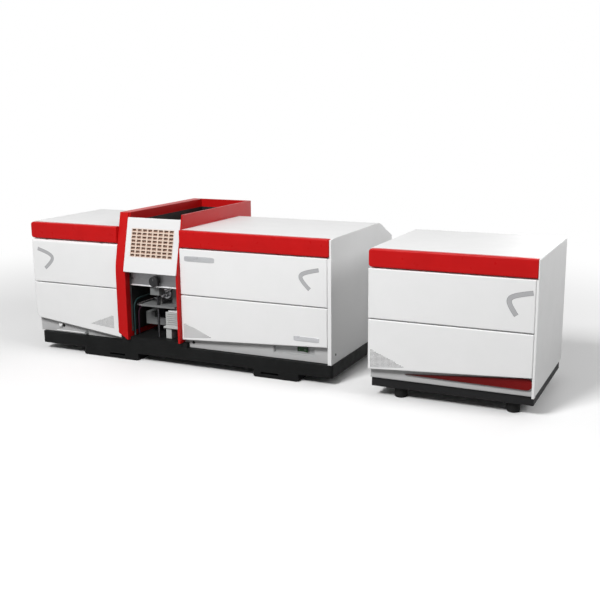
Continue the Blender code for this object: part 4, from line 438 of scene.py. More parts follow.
def dot_field(top, corner, tip, face):
    """Dots at corner + i p along the slant and corner + j p up, kept where they lie inside the triangle
    of top, corner and tip. Each dot is a thin disc across the face."""
    reach, rise = np.subtract(tip, corner), np.subtract(top, corner)
    step = DOT_PITCH / abs(reach[0]), DOT_PITCH / rise[1]
    u, v = np.meshgrid(*(np.arange(1, int(1 / size)) * size for size in step))
    inside = u + v < 1
    centres = corner + u[inside][:, None] * reach + v[inside][:, None] * rise
    disc = lathe([(-PRINT_THICK, DOT_RADIUS), (PRINT_THICK, DOT_RADIUS)], DOT_SIDES)
    places = np.insert(centres, 1, face, axis=1)
    return places[:, None, None] + disc[..., (0, 2, 1)]


dot_ink = printed("dot_ink", (0.12, 0.12, 0.123), (0.15, 0.15, 0.153))
for name, field in DOT_FIELDS.items():
    skin(name, dot_field(*field), dot_ink)

# Two small plates are stuck on the right-hand panels, one high and one low. They are blank, stamped from
# brushed aluminium with a softly rounded edge.
PLATES = {"upper_plate": (-0.1805, 0.329, 0.05, 0.008), "lower_plate": (0.158, 0.127, 0.039, 0.007)}
PLATE_STEPS = ((0, 0), (0, 0.0004), (0.0002, 0.0006), (0.0005, 0.0007))


def pad(half_x, half_y, steps, power=8, sides=48):
    """Rings |x/a|^n + |y/b|^n = 1, one for each step (inset, height), with a and b less the inset."""
    c, s = np.cos(around(sides)), np.sin(around(sides))
    unit = (abs(c) ** power + abs(s) ** power) ** (-1 / power)
    inset, height = np.array(steps, float).T[..., None]
    return points((half_x - inset) * c * unit, (half_y - inset) * s * unit, height)


brushed = metal("brushed_aluminium", (0.5, 0.505, 0.515), (0.41, 0.415, 0.43), 0.34, (0.04, 1, 1), 0.0006)
for name, (x, z, half_x, half_z) in PLATES.items():
    plate = aimed(pad(half_x, half_z, PLATE_STEPS), (x, right_face, z), FRONT)
    skin(name, plate, brushed)

# The red trim along the top of each cabinet is a glossy moulding with rounded corners and a rounded front
# edge, clipped over the cover. The accent low on the power cabinet is a duller red moulding, darkened
# towards its inner end by painted shade: the shadow of the panel above it.
RED, RED_CLOUD = (0.48, 0.006, 0.0065), (0.52, 0.007, 0.0075)
BAND_EDGE, BAND_DISH, QUARTER_TURN = 0.0042, 0.0006, math.pi / 2
BAND_CORNERS = {"left_red_band": (0.009, 0.001, 0.001, 0.009), "right_red_band": (0.001, 0.006, 0.006, 0.001),
                "supply_red_band": (0.009, 0.003, 0.003, 0.009)}
ACCENT_SHADED, ACCENT_LIT = (0.045, 0.003, 0.003), (0.17, 0.005, 0.005)


def rimmed(outline, radii, steps, arc=9):
    """Rings inside a convex outline (x, z), one for each step (inset, height). Each side moves in by the
    inset, and a corner of radius r is an arc of radius r - inset round its own centre, sharp from r on."""
    corners = np.array(outline, float)
    side = np.roll(corners, -1, axis=0) - corners
    side /= np.linalg.norm(side, axis=1, keepdims=True)
    leaving = np.stack([-side[:, 1], side[:, 0]], -1)
    arriving = np.roll(leaving, 1, axis=0)
    inset, height = np.array(steps, float).T
    away = np.maximum(inset[:, None], np.array(radii, float))
    share = 1 + (leaving * arriving).sum(-1)
    centre = corners + ((leaving + arriving) / share[:, None]) * away[..., None]
    t = np.linspace(0, 1, arc)[:, None]
    out = -arriving[:, None] * np.cos(t * QUARTER_TURN) - leaving[:, None] * np.sin(t * QUARTER_TURN)
    out /= np.linalg.norm(out, axis=-1, keepdims=True)
    flat = (centre[:, :, None] + out * (away - inset[:, None])[..., None, None]).reshape(len(steps), -1, 2)
    return points(flat[..., 0], flat[..., 1], height[:, None])


red_moulding = moulding("red_moulding", RED, RED_CLOUD, 0.32, 0.0, 0.0, 0.12)
turn = np.radians(range(0, 91, 10))
round_edge = np.stack([1 - np.cos(turn), np.sin(turn) - 1], -1) * BAND_EDGE
for name, radii in BAND_CORNERS.items():
    low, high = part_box(name)
    deep = high.y - low.y
    steps = [(0, 0), *(round_edge + (0, deep)), (BAND_EDGE + BAND_DISH, deep)]
    outline = ((low.x, low.z), (high.x, low.z), (high.x, high.z), (low.x, high.z))
    grid = aimed(rimmed(outline, radii, steps), (0, high.y, 0), FRONT)
    piece = skin(name + "_moulding", grid, red_moulding)
    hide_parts(name)
accent_red = moulding("accent_red", (0.2, 0.0075, 0.008), (0.24, 0.0085, 0.009), 0.38, 0.0, 0.001, 0.12)
accent_low, accent_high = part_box("supply_red_accent")
# Painted shade: the accent's red darkens towards its inner end, where the panel above shades it.
tree = accent_red.node_tree
lit_share = spread(tree, where(tree, "X"), 0, 1, accent_low.x, accent_high.x)
fill(shader_of(accent_red), {"Base Color": tint(tree, lit_share, ACCENT_SHADED, ACCENT_LIT)})
paint(accent_red, "supply_red_accent")

# The flame tower is three walls of folded steel sheet, powder-coated red and open at the top. Inside it
# hangs a heat shield of blued steel, cloudy and stained by the flame.
red_enamel = enamel("red_enamel", (0.46, 0.006, 0.0065), (0.5, 0.007, 0.0075), 0.36, 0.0, 0.002, 0.12)
heat_sheet = finish("heat_sheet", (0.022, 0.024, 0.027), (0.052, 0.044, 0.038), 0.5, (0.06, 5),
                    (0.12, 0.12, (0.015, 4)), (0.00004, (0.003, 3, (1, 1, 0.2))), metallic=0.5)
paint(red_enamel, "tower_left_wall", "tower_right_wall", "tower_back_wall")
paint(heat_sheet, "burner_bay_liner")

# The vented shield is one white powder-coated sheet with punched slots, hung on two pins. The ground
# between the slots has a warm cream tone, and a brown louvre blade stands behind each row.
VENT_FIELD, VENT_FADE = ((-0.419, -1, 0.3238), (-0.27, 1, 0.4066)), 0.004
SHIELD_WHITE, SHIELD_CREAM = (0.72,) * 3, (0.66, 0.52, 0.43)
SHIELD_TILT, SHIELD_THICK = math.radians(13.4), 0.005
BLADE_ROWS, BLADE_PITCH, BLADE_FIRST, BLADE_SIDE = 8, 0.0107, 0.3972, 0.001
BLADE_DEPTH, BLADE_RISE, BLADE_THICK, BLADE_CURVE = 0.006, 0.0085, 0.0008, 0.7
vent_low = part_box("vent_door")[0]


def louvre_blades(columns=24):
    """Each blade is a strip of section P(s) = (D s, h s^0.7) behind its slot, from the slot's lower edge back
    and up, so that it catches the light; the rows step down with the leaning shield."""
    share = np.linspace(0, 1, 6)
    curve = np.stack([BLADE_DEPTH * share, BLADE_RISE * share ** BLADE_CURVE], -1)
    section = np.concatenate([curve, (curve - (0, BLADE_THICK))[::-1]])
    x = np.linspace(VENT_FIELD[0][0] + BLADE_SIDE, VENT_FIELD[1][0] - BLADE_SIDE, columns)
    z = BLADE_FIRST - np.arange(BLADE_ROWS) * BLADE_PITCH * math.cos(SHIELD_TILT)
    y = vent_low.y + (z - vent_low.z) * math.tan(SHIELD_TILT) + SHIELD_THICK / math.cos(SHIELD_TILT)
    return points(x[:, None], y[:, None, None] + section[:, 0], z[:, None, None] + section[:, 1])


shield_enamel = enamel("shield_enamel", SHIELD_WHITE, (0.7,) * 3, 0.42)
recoloured(shield_enamel, SHIELD_CREAM, *VENT_FIELD, VENT_FADE)
paint(shield_enamel, "vent_door")
blade_brown = enamel("blade_brown", (0.26, 0.16, 0.12), (0.31, 0.19, 0.14), 0.5)
skin("shield_blades", louvre_blades(), blade_brown, "vent_door")

# Under the shield a crossbar of bent steel carries the height knob and its gearbox. Its lower lip carries a
# painted highlight, a near-white band where the light catches that edge, and a pan-head screw holds each end.
LIP_HIGHLIGHT_RISE, LIP_HIGHLIGHT_FADE, BAR_SCREW_INSET, BAR_STEP = 0.0026, 0.0008, 0.0075, 0.002
bar_low, bar_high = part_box("burner_crossbar")
bar_face = bar_high.y - BAR_STEP
bar_steel = metal("bar_steel", (0.2, 0.2, 0.205), (0.155, 0.155, 0.16), 0.46, (0.05, 1, 1), 0.0006)
# Painted highlight: the lowest few millimetres of the bar are recoloured near-white.
recoloured(bar_steel, (0.8, 0.8, 0.81), (-1, -1, 0), (1, 1, bar_low.z + LIP_HIGHLIGHT_RISE), LIP_HIGHLIGHT_FADE)
paint(bar_steel, "burner_crossbar")
heads = [aimed(pan_head(), (x, bar_face, (bar_low.z + bar_high.z) / 2), FRONT)
         for x in (bar_low.x + BAR_SCREW_INSET, bar_high.x - BAR_SCREW_INSET)]
skin("crossbar_screws", heads, black_oxide)

# The height knob is a fluted black moulding on a steel shaft, with an engraved pointer. Round it a ring
# of plain scale marks is printed on the bar.
knob_low, knob_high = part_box("burner_height_knob")
knob_mid = (knob_low + knob_high) / 2
KNOB_OUTLINE = ((0, 0.005), (0.0004, 0.004), (0.0005, 0.0022), (0.0009, 0.0011), (0.0018, 0.0003),
                (0.003, 0), (0.0105, 0), (0.012, 0), (0.013, 0.0006))
KNOB_RADIUS, KNOB_BODY, SHAFT_RADIUS = (knob_high.x - knob_low.x) / 2, 0.013, 0.0029
FLUTES, FLUTE_DEPTH, FLUTES_FROM, FLUTES_TO = 24, 0.0007, 0.0018, 0.012
POINTER_FROM, POINTER_TO, POINTER_WIDTH, INK_THICK = 0.003, 0.01, 0.001, 0.0001
SCALE_MARKS, SCALE_START, SCALE_END, SCALE_RADIUS = 11, 205, -25, 0.0174
MARK_LENGTH, MARK_WIDTH, SHORT_MARK, LONG_EVERY = 0.0018, 0.0005, 0.6, 5


def fluted(profile, count, depth, first, last, sides):
    """A turned profile whose radius dips between its ribs: r = R(h) - d |cos(n a / 2)|^3 for h within first
    and last, and r = R(h) elsewhere."""
    grid = lathe(profile, sides)
    height = np.array(profile, float)[:, 0]
    ribbed = ((height >= first) & (height <= last))[:, None]
    dip = depth * abs(np.cos(count * around(sides) / 2)) ** 3 * ribbed
    grid[..., :2] *= (1 - dip / np.linalg.norm(grid[..., :2], axis=-1))[..., None]
    return grid


knob_moulding = moulding("knob_moulding", (0.016, 0.016, 0.017), (0.024, 0.024, 0.025), 0.42, gloss=0.2)
knob_profile = [(0, 0.0005), *((height, KNOB_RADIUS - inset) for height, inset in KNOB_OUTLINE),
                (KNOB_BODY, SHAFT_RADIUS), (knob_high.y - knob_low.y, SHAFT_RADIUS)]
knob_grid = fluted(knob_profile, FLUTES, FLUTE_DEPTH, FLUTES_FROM, FLUTES_TO, 192)
knob = skin("fluted_knob", aimed(knob_grid, (knob_mid.x, knob_low.y, knob_mid.z), BACK), knob_moulding,
            "height_knob")
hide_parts("burner_height_knob")
knob_centre = np.array((knob_mid.x, knob_mid.z))
pointer = knob_centre + [(0, POINTER_FROM), (0, POINTER_TO)]
skin("knob_pointer", band(pointer, (POINTER_WIDTH,), knob_low.y, INK_THICK, 3),
     printed("engraved_grey", (0.16,) * 3, (0.12,) * 3), "height_knob")
marks = []
for number, angle in enumerate(np.radians(np.linspace(SCALE_START, SCALE_END, SCALE_MARKS))):
    out = np.array((math.cos(angle), math.sin(angle)))
    reach = SCALE_RADIUS + MARK_LENGTH * (SHORT_MARK if number % LONG_EVERY else 1)
    line = np.array([knob_centre + out * SCALE_RADIUS, knob_centre + out * reach])
    marks.append(band(line, (MARK_WIDTH,), bar_face, INK_THICK, 3))
skin("knob_scale", marks, printed("scale_ink", (0.03,) * 3, (0.05,) * 3))

# The gearbox and the carriage are grey hammered castings, and the rail behind is ground steel. The lift
# screw is a five-start thread with 10 mm lead, so that one turn of the knob lifts the burner 10 mm.
THREAD_STARTS, THREAD_LEAD, THREAD_DEPTH, THREAD_RADIUS, THREAD_ROWS = 5, 0.01, 0.0007, 0.004, 640
grey_cast = enamel("grey_cast", (0.17, 0.175, 0.175), (0.14, 0.145, 0.145), 0.5, 0.00005, 0.0012)
dark_steel = metal("dark_steel", (0.045, 0.045, 0.048), (0.028, 0.028, 0.03), 0.45, (1, 1, 0.1), 0.0005)
paint(grey_cast, "lift_gearbox", "burner_carriage")
paint(dark_steel, "carriage_rail")
screw_low, screw_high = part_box("lift_screw")


def threaded(radius, length, rows, sides=32):
    """r = R - d |2 frac(n (h / L - a / 2 pi)) - 1|, a V thread of n starts with the lead L."""
    height = np.linspace(0, length, rows)
    grid = lathe([(h, 1) for h in height], sides)
    turn = THREAD_STARTS * (height[:, None] / THREAD_LEAD - np.arange(sides) / sides)
    grid[..., :2] *= (radius - THREAD_DEPTH * abs(2 * (turn % 1) - 1))[..., None]
    return grid


screw_mid = (screw_low + screw_high) / 2
thread = threaded(THREAD_RADIUS, screw_high.z - screw_low.z, THREAD_ROWS)
thread += screw_mid.x, screw_mid.y, screw_low.z
screw = skin("threaded_screw", thread, dark_steel, "lift_screw", smooth=60)
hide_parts("lift_screw")

# A bright round rod is bent along the left edge of the carriage, as its guard and handle. On the other
# side a folded splash plate of coated steel stands on the carriage.
ROD_RADIUS, ROD_OUT, ROD_HEIGHT, ROD_ROOT = 0.003, 0.017, 0.003, 0.004
ROD_FRONT, ROD_BACK, ROD_CORNER, SHELF_TOP = -0.204, -0.105, 0.01, 0.1745
SPLASH_LEFT, SPLASH_RIGHT, SPLASH_HEIGHT, SPLASH_Y = -0.317, -0.285, 0.048, -0.164
SPLASH_STEPS = ((0, 0), (0, 0.0012), (0.0004, 0.0016))
shelf_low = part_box("burner_carriage")[0]


def tube(path, radius, side, sides=16):
    """A round section along a path in the plane square to side: P + r (n cos a + side sin a), with n square
    to the path in its plane."""
    path, side = np.array(path, float), np.array(side, float)
    along = np.gradient(path, axis=0)
    along /= np.linalg.norm(along, axis=1, keepdims=True)
    normal, angle = np.cross(side, along), around(sides)[:, None]
    return path[:, None] + radius * (normal[:, None] * np.cos(angle) + side * np.sin(angle))


def rounded_path(corners, radius, steps=8):
    """Straight runs between the corners, with each inner corner cut by the arc-like curve
    (1-t)^2 A + 2 t (1-t) C + t^2 B, where A and B lie a radius before and after the corner C."""
    corners = np.array(corners, float)
    t = np.linspace(0, 1, steps)[:, None]
    path = [corners[:1]]
    for before, corner, after in zip(corners, corners[1:], corners[2:]):
        start, end = (corner + (other - corner) / np.linalg.norm(other - corner) * radius
                      for other in (before, after))
        path.append((1 - t) ** 2 * start + 2 * t * (1 - t) * corner + t ** 2 * end)
    return np.concatenate(path + [corners[-1:]])


rod_steel = metal("rod_steel", (0.42, 0.42, 0.43), (0.34, 0.34, 0.35), 0.3, (1, 0.1, 1), 0.0004)
root_x, rod_x, rod_z = shelf_low.x + ROD_ROOT, shelf_low.x - ROD_OUT, SHELF_TOP - ROD_HEIGHT
guard = rounded_path([(root_x, ROD_BACK, rod_z), (rod_x, ROD_BACK, rod_z), (rod_x, ROD_FRONT, rod_z),
                      (root_x, ROD_FRONT, rod_z)], ROD_CORNER)
skin("carriage_rod", tube(guard, ROD_RADIUS, UP), rod_steel, "burner_lift")
splash = pad((SPLASH_RIGHT - SPLASH_LEFT) / 2, SPLASH_HEIGHT / 2, SPLASH_STEPS, 12)
splash_place = ((SPLASH_LEFT + SPLASH_RIGHT) / 2, SPLASH_Y, SHELF_TOP + SPLASH_HEIGHT / 2)
skin("splash_plate", aimed(splash, splash_place, FRONT), grey_cast, "burner_lift")

# The spray chamber is inert grey plastic. The nebulizer screwed into its front is stainless steel, with a
# knurled nut, a clamp bar across its barrel and a clear capillary that runs down to the carriage.
KNURLS, KNURL_DEPTH, KNURL_FROM, KNURL_TO = 36, 0.0004, 0.019, 0.025
CLAMP_RISE, CLAMP_HALF, CLAMP_TALL, CLAMP_Y = 0.0128, 0.0185, 0.0026, -0.172
POST_RADIUS, POST_LONG, POST_ASIDE, POST_Y = 0.0016, 0.02, 0.015, -0.1722
CLAMP_STEPS = ((0, 0), (0, 0.0024), (0.0006, 0.003))
CAPILLARY_RADIUS, CAPILLARY_IN, CAPILLARY_BOW, CAPILLARY_REST = 0.0007, 0.0022, 0.0006, 0.0005
CAPILLARY_DROP, CAPILLARY_LEAN = 0.002, 1.2
neb_low, neb_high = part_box("nebulizer")
neb_x, _, neb_z = (neb_low + neb_high) / 2
neb_profile = [(0, 0.0152), (0.0008, 0.016), (0.0032, 0.016), (0.004, 0.015), (0.004, 0.0105),
               (0.005, 0.0098), (0.0165, 0.0098), (0.0175, 0.0092), (0.018, 0.0062), (0.0182, 0.007),
               (0.019, 0.0075), (0.025, 0.0075), (0.0258, 0.0066), (0.026, 0.003), (0.0262, 0.0015),
               (0.032, 0.0014)]


def flexible(name, colour, other):
    """Extruded hose: a soft sheen, with faint rings along its length."""
    return finish(name, colour, other, 0.45, (0.004,), None, (0.00003, (0.001, 2, (0.2, 0.2, 1))), gloss=0.25)


paint(moulding("chamber_grey", (0.11, 0.112, 0.112), (0.14, 0.142, 0.142), 0.5), "spray_chamber")
nebulizer_steel = metal("nebulizer_steel", (0.42, 0.42, 0.43), (0.32, 0.32, 0.33), 0.28, (1, 0.1, 1), 0.0005)
neb_grid = fluted(neb_profile, KNURLS, KNURL_DEPTH, KNURL_FROM, KNURL_TO, 144)
neb = skin("turned_nebulizer", aimed(neb_grid, (neb_x, neb_high.y, neb_z), FRONT), nebulizer_steel,
           "burner_lift")
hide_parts("nebulizer")
clamp_bar = pad(CLAMP_HALF, CLAMP_TALL, CLAMP_STEPS, 4)
clamp = [aimed(clamp_bar, (neb_x, CLAMP_Y, neb_z + CLAMP_RISE), FRONT)]
for x in (neb_x - POST_ASIDE, neb_x + POST_ASIDE):
    post = lathe([(0, POST_RADIUS), (POST_LONG, POST_RADIUS)], 12)
    clamp.append(aimed(post, (x, POST_Y, neb_z + CLAMP_RISE), BACK))
bright = metal("bright_steel", (0.72, 0.72, 0.73), (0.62, 0.62, 0.63), 0.3, (0.05, 1, 1), 0.0005)
skin("nebulizer_clamp", clamp, bright, "burner_lift")
drop = hook((neb_low.y + CAPILLARY_IN, neb_z), (neb_low.y - CAPILLARY_BOW, neb_z - CAPILLARY_DROP),
            (neb_low.y + CAPILLARY_BOW, SHELF_TOP + CAPILLARY_REST), CAPILLARY_LEAN, 24)
skin("sample_capillary", tube(np.insert(drop, 0, neb_x, axis=1), CAPILLARY_RADIUS, RIGHT, 8),
     flexible("capillary", (0.55, 0.56, 0.55), (0.48, 0.49, 0.48)), "burner_lift")

# The gas valve block is a ribbed grey casting. Two hoses come up through the floor beside it, hug the left
# wall and run to the back of the tower: dark teal for the oxidant and dark maroon for the fuel.
HOSE_RADIUS, HOSE_X, HOSE_FLOOR, HOSE_END = 0.0029, -0.4285, 0.0742, 0.208
HOSE_BEND, HOSE_RISE, COLLAR_SINK = 0.03, 0.01, 0.0004
HOSES = {"oxidant_hose": (-0.208, 0.186, (0.012, 0.04, 0.042), (0.018, 0.055, 0.056)),
         "fuel_hose": (-0.186, 0.16, (0.045, 0.012, 0.03), (0.06, 0.016, 0.04))}
COLLAR = ((0, 0.0042), (0.0015, 0.0042), (0.0025, 0.0034), (0.0025, 0.001))
valve_cast = enamel("valve_cast", (0.46, 0.47, 0.46), (0.4, 0.41, 0.4), 0.5, 0.00003, 0.0008)
paint(valve_cast, "gas_valve_block")
for name, (y, top, colour, other) in HOSES.items():
    path = rounded_path([(HOSE_X, y, HOSE_FLOOR), (HOSE_X, y, top), (HOSE_X, HOSE_END, top + HOSE_RISE)],
                        HOSE_BEND, 20)
    skin(name, tube(path, HOSE_RADIUS, RIGHT, 20), flexible(name, colour, other))
    collar = lathe(COLLAR, 24) + (HOSE_X, y, HOSE_FLOOR - COLLAR_SINK)
    skin(name + "_collar", collar, black_moulding)

# The burner head is milled from titanium with a long slot along its top, and turns on its neck. The flame
# has coloured it: grey low down, then straw, violet and blue along the lips.
BURNER_TINTS = ((0, (0.4, 0.385, 0.37)), (0.55, (0.42, 0.39, 0.34)), (0.75, (0.48, 0.36, 0.17)),
                (0.9, (0.33, 0.18, 0.26)), (1, (0.16, 0.2, 0.33)))
burner_low, burner_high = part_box("burner_head")
titanium = finish("burner_titanium", (0.42, 0.4, 0.38), None, 0.34, None, (0.08, 0.12, (0.008,)),
                  (0.00001, (0.0005, 3, (0.1, 1, 1))), 0.0006, metallic=1.0)
tree = titanium.node_tree
rise = spread(tree, where(tree, "Z"), 0, 1, burner_low.z, burner_high.z)
lips = shade(tree, "ValToRGB", {0: rise})
stops = lips.node.color_ramp.elements
for place, _ in BURNER_TINTS[1:-1]:
    stops.new(place)
for stop, (_, colour) in zip(stops, BURNER_TINTS):
    stop.color = (*colour, 1)
fill(shader_of(titanium), {"Base Color": lips})
paint(titanium, "burner_head")

# The drain trap low in the tower and the long tray under the right-hand panels are plain mouldings with a
# fine grain, the trap dark grey and the tray pale. The tray holds the mains switch.
grey_moulding = moulding("grey_moulding", (0.13, 0.135, 0.135), (0.16, 0.165, 0.165), 0.5)
paint(grey_moulding, "drain_trap")
paint(moulding("tray_grey", (0.42, 0.425, 0.425), (0.46, 0.465, 0.465), 0.5), "control_tray")

# The rocker of the mains switch is a glossy dark green moulding that tips in the tray's frame. A raised
# bar and a raised ring on it stand for on and off.
MARK_INSET, MARK_SIZE, MARK_WIRE = 0.0075, 0.0021, 0.00035
green = moulding("green_rocker", (0.007, 0.038, 0.009), (0.009, 0.05, 0.012), 0.28, 0.000004, gloss=0.2)
paint(green, "power_switch")
rocker_low, rocker_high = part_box("power_switch")
rocker_z = ((rocker_low + rocker_high) / 2).z
bar_x, ring_x = rocker_low.x + MARK_INSET, rocker_high.x - MARK_INSET


def hoop(radius, wire, sides):
    """A ring of wire round the Z axis: height w sin b and radius R + w cos b, with b in 12 even steps."""
    turn = around(12)
    return lathe(np.stack([wire * np.sin(turn), radius + wire * np.cos(turn)], -1), sides)


ring = aimed(hoop(MARK_SIZE, MARK_WIRE, 32), (ring_x, rocker_low.y, rocker_z), FRONT)
bar = [(bar_x, rocker_low.y, rocker_z + rise) for rise in (-MARK_SIZE, MARK_SIZE)]
mark_ink = printed("mark_grey", (0.2, 0.24, 0.2), (0.24, 0.28, 0.24))
skin("rocker_ring", ring, mark_ink, "power_switch", loop=True)
skin("rocker_bar", tube(bar, MARK_WIRE, BACK, 12), mark_ink, "power_switch")

# Small fittings are pressed into the strips low on the covers' fronts: a black cable grommet on the
# right-hand cabinet, and a white plug cap, a grey latch and a pressed rib on the lamp cabinet. A second black
# grommet
# beside the plug cap is painted shade: it stands for the shadow that the cap casts.
GROMMET = ((0, 0.0044), (0.0012, 0.0042), (0.0018, 0.0034), (0.0014, 0.0024), (-0.001, 0.002))
PLUG_CAP = ((0, 0.0072), (0.005, 0.007), (0.0064, 0.0058), (0.007, 0.003), (0.007, 0.0005))
LATCH = ((0, 0.0058), (0.0036, 0.0056), (0.0048, 0.0044), (0.005, 0.0024), (0.005, 0.0005))
FITTINGS = (("right_grommet", (-0.2178, 0.0749), GROMMET, black_moulding, "black_moulding"),
            # Painted shade: this black grommet stands for the shadow of the plug cap beside it.
            ("left_plug_cap_shadow", (-0.701, 0.0797), GROMMET, black_moulding, "black_moulding"),
            ("left_plug_cap", (-0.711, 0.0822), PLUG_CAP, white_moulding, "white_moulding"),
            ("left_latch", (-0.611, 0.065), LATCH, grey_moulding, "grey_moulding"))
RIB_X, RIB_Z, RIB_HALF_LONG, RIB_HALF_TALL = -0.676, 0.0626, 0.056, 0.002
RIB_STEPS = ((0, 0), (0.0004, 0.0008), (0.0011, 0.0013), (0.0018, 0.0014))
for name, (x, z), profile, look, slot_name in FITTINGS:
    skin(name, aimed(lathe(profile, 32), (x, strip_face, z), FRONT), look)
rib = aimed(pad(RIB_HALF_LONG, RIB_HALF_TALL, RIB_STEPS, 3), (RIB_X, strip_face, RIB_Z), FRONT)
skin("left_strip_rib", rib, white_enamel)

# The hollow cathode lamps are glass tubes on black plug bases, held in the turret's two discs. In each a
# metal cathode cup stands on its stem, and a flat glass window closes the far end.
LAMP_CHAMFER = 0.001
LAMP_BASE = ((0.192, 0.74), (0.1968, 0.98), (0.264, 0.98), (0.2688, 0.9))
LAMP_BULB = ((0.264, 0.88), (0.2784, 0.97), (0.6, 0.97), (0.63, 0.9), (0.66, 0.82), (0.93, 0.82),
             (0.95, 0.97), (1, 0.97), (1, 0.8), (0.955, 0.76), (0.93, 0.76), (0.67, 0.76), (0.62, 0.88),
             (0.2832, 0.9))
LAMP_WINDOW = ((0.985, 0.78), (0.998, 0.78))
LAMP_CUP = ((0.42, 0.2), (0.42, 0.34), (0.54, 0.34), (0.54, 0.16), (0.45, 0.14))
LAMP_STEM = ((0.252, 0.08), (0.425, 0.08))
LAMP_PARTS = ((LAMP_BULB, 40), (LAMP_WINDOW, 40), (LAMP_CUP, 24), (LAMP_STEM, 12))


def clear(name, colour, other, roughness, cloud, bumps, bending):
    """Glass that lets the light through, with its index of refraction."""
    look = finish(name, colour, other, roughness, cloud, None, bumps)
    fill(shader_of(look), {"Transmission Weight": 1.0, "IOR": bending})
    return look


glass = clear("lamp_glass", (0.95, 0.98, 0.98), None, 0.02, None, (0.00002, (0.01, 2, (0.1, 1, 1))), 1.47)
cathode_steel = metal("cathode_steel", (0.5, 0.49, 0.47), (0.36, 0.35, 0.34), 0.3)
for name in ("lamp_1", "lamp_2", "lamp_3"):
    low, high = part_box(name)
    length, radius, middle = high.x - low.x, (high.y - low.y) / 2, (low + high) / 2
    outline = ((0, 0.7), (LAMP_CHAMFER / length, 0.74), *LAMP_BASE)
    base, bulb, window, cup, stem = (
        aimed(lathe(np.array(profile) * (length, radius), sides), (low.x, middle.y, middle.z), RIGHT)
        for profile, sides in ((outline, 40), *LAMP_PARTS))
    piece = skin(name + "_base", base, knob_moulding, "lamp_turret")
    skin(name + "_envelope", bulb, glass, "lamp_turret", loop=True)
    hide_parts(name)
    skin(name + "_window", window, glass, "lamp_turret")
    skin(name + "_cathode", [cup, stem], cathode_steel, "lamp_turret")

# The lamp turret, its bracket and the monochromator's case are milled aluminium, screwed down inside the
# covers. The detector's box and the base of the power cabinet are steel sheet, coated matt black.
milled = metal("milled_aluminium", (0.6, 0.61, 0.62), (0.5, 0.51, 0.52), 0.36, (1, 0.08, 1), 0.0008)
paint(milled, "lamp_turret", "turret_bracket", "monochromator_case")
matt_black = enamel("matt_black", (0.0115, 0.0115, 0.012), (0.0165, 0.0165, 0.017), 0.6, gloss=0.12)
paint(matt_black, "detector_housing", "supply_base")

# The lenses on the light path are polished quartz with a faint blue coating, set in the tower's walls. The
# grating is an aluminium mirror with fine ruled lines, glued to its turntable.
quartz = clear("quartz", (0.93, 0.96, 0.98), (0.86, 0.92, 0.98), 0.03, (0.02, 2), None, 1.46)
paint(quartz, "left_window", "right_window")
ruled = metal("ruled_mirror", (0.8, 0.82, 0.86), (0.7, 0.74, 0.84), 0.1, (1, 30, 1), 0.004, 0.000004)
paint(ruled, "grating")

# The transformers are stacks of thin iron sheets round a winding, dipped in brown varnish and bolted
# down. The edges of the sheets show as fine dark lines across the stack.
VARNISH_DARK, VARNISH_PALE, SHEET_WAVES, SHEET_DEPTH = (0.1, 0.055, 0.03), (0.18, 0.11, 0.06), 100, 0.0001
laminations = finish("laminations", (0.14, 0.08, 0.045), None, 0.45, vary=(0.1, 0.15, (0.01,)), metallic=0.4)
tree, shader = laminations.node_tree, shader_of(laminations)
place = shade(tree, "TexCoord", output="Object")
sheets = shade(tree, "TexWave", {"Vector": place, "Scale": SHEET_WAVES}, "Fac", bands_direction="Y")
fill(shader, {"Base Color": tint(tree, sheets, VARNISH_DARK, VARNISH_PALE)})
relief(shader, sheets, SHEET_DEPTH, 0.0)
paint(laminations, "mains_transformer", "supply_transformer")

# The power cabinet stands on four turned rubber feet, each with a flange at the top, a slight waist and a
# chamfered tread. A screw goes up through the middle of each.
FOOT_HOLE = 0.001
FOOT_OUTLINE = ((0.004, 0.3), (0, 0.34), (0, 0.86), (0.0022, 0.97), (0.004, 1), (0.0209, 0.96),
                (0.0239, 0.98), (0.0259, 1.08), (0.0267, 1.14), (0.0289, 1.14), (0.0289, 0.3))
rubber = moulding("foot_rubber", (0.012,) * 3, (0.02,) * 3, 0.75, 0.00006, gloss=0.12)
for name in ("supply_foot_" + corner for corner in CORNERS):
    low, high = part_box(name)
    middle = (low + high) / 2
    radius = (high.x - low.x) / 2
    outline = ((0.004, FOOT_HOLE / radius), *FOOT_OUTLINE, (high.z, 0.3))
    foot = lathe(np.array(outline) * (1, radius), 48) + (middle.x, middle.y, 0)
    piece = skin(name + "_tread", foot, rubber)
    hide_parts(name)

# The backs are vented by louvres pressed out of the covers in rows of eight: a low hood in the same
# white coat over each slit. Each slit is a near-black sheet, painted shade standing for the dark opening.
HOOD_STEPS = ((0, 0), (0.0002, 0.001), (0.0009, 0.002), (0.0022, 0.0026), (0.0032, 0.0027))
HOOD_HALF, HOOD_TALL, HOOD_PITCH, HOOD_ROWS = 0.028, 0.0036, 0.015, 8
SLIT_SHARE, SLIT_TALL, SLIT_DROP, SLIT_STEPS = 0.92, 0.0011, 0.0009, ((0, -0.0005), (0, 0.0004))
LOUVRES = [(x, right_back, 0.2) for x in (-0.155, -0.06, 0.035)]
LOUVRES += [(x, left_back, 0.17) for x in (-0.7, -0.6)]
LOUVRES += [(x, supply_back, 0.225) for x in (0.48, 0.576, 0.672)]
hood = aimed(pad(HOOD_HALF, HOOD_TALL, HOOD_STEPS, 3, 28), (0, 0, 0), BACK)
slit = aimed(pad(HOOD_HALF * SLIT_SHARE, SLIT_TALL, SLIT_STEPS, 6, 20), (0, 0, 0), BACK)
places = np.repeat(LOUVRES, HOOD_ROWS, axis=0)[:, None, None]
places[..., 2] += np.tile(np.arange(HOOD_ROWS) * HOOD_PITCH, len(LOUVRES))[:, None, None]
skin("louvre_hoods", hood + places, white_enamel)
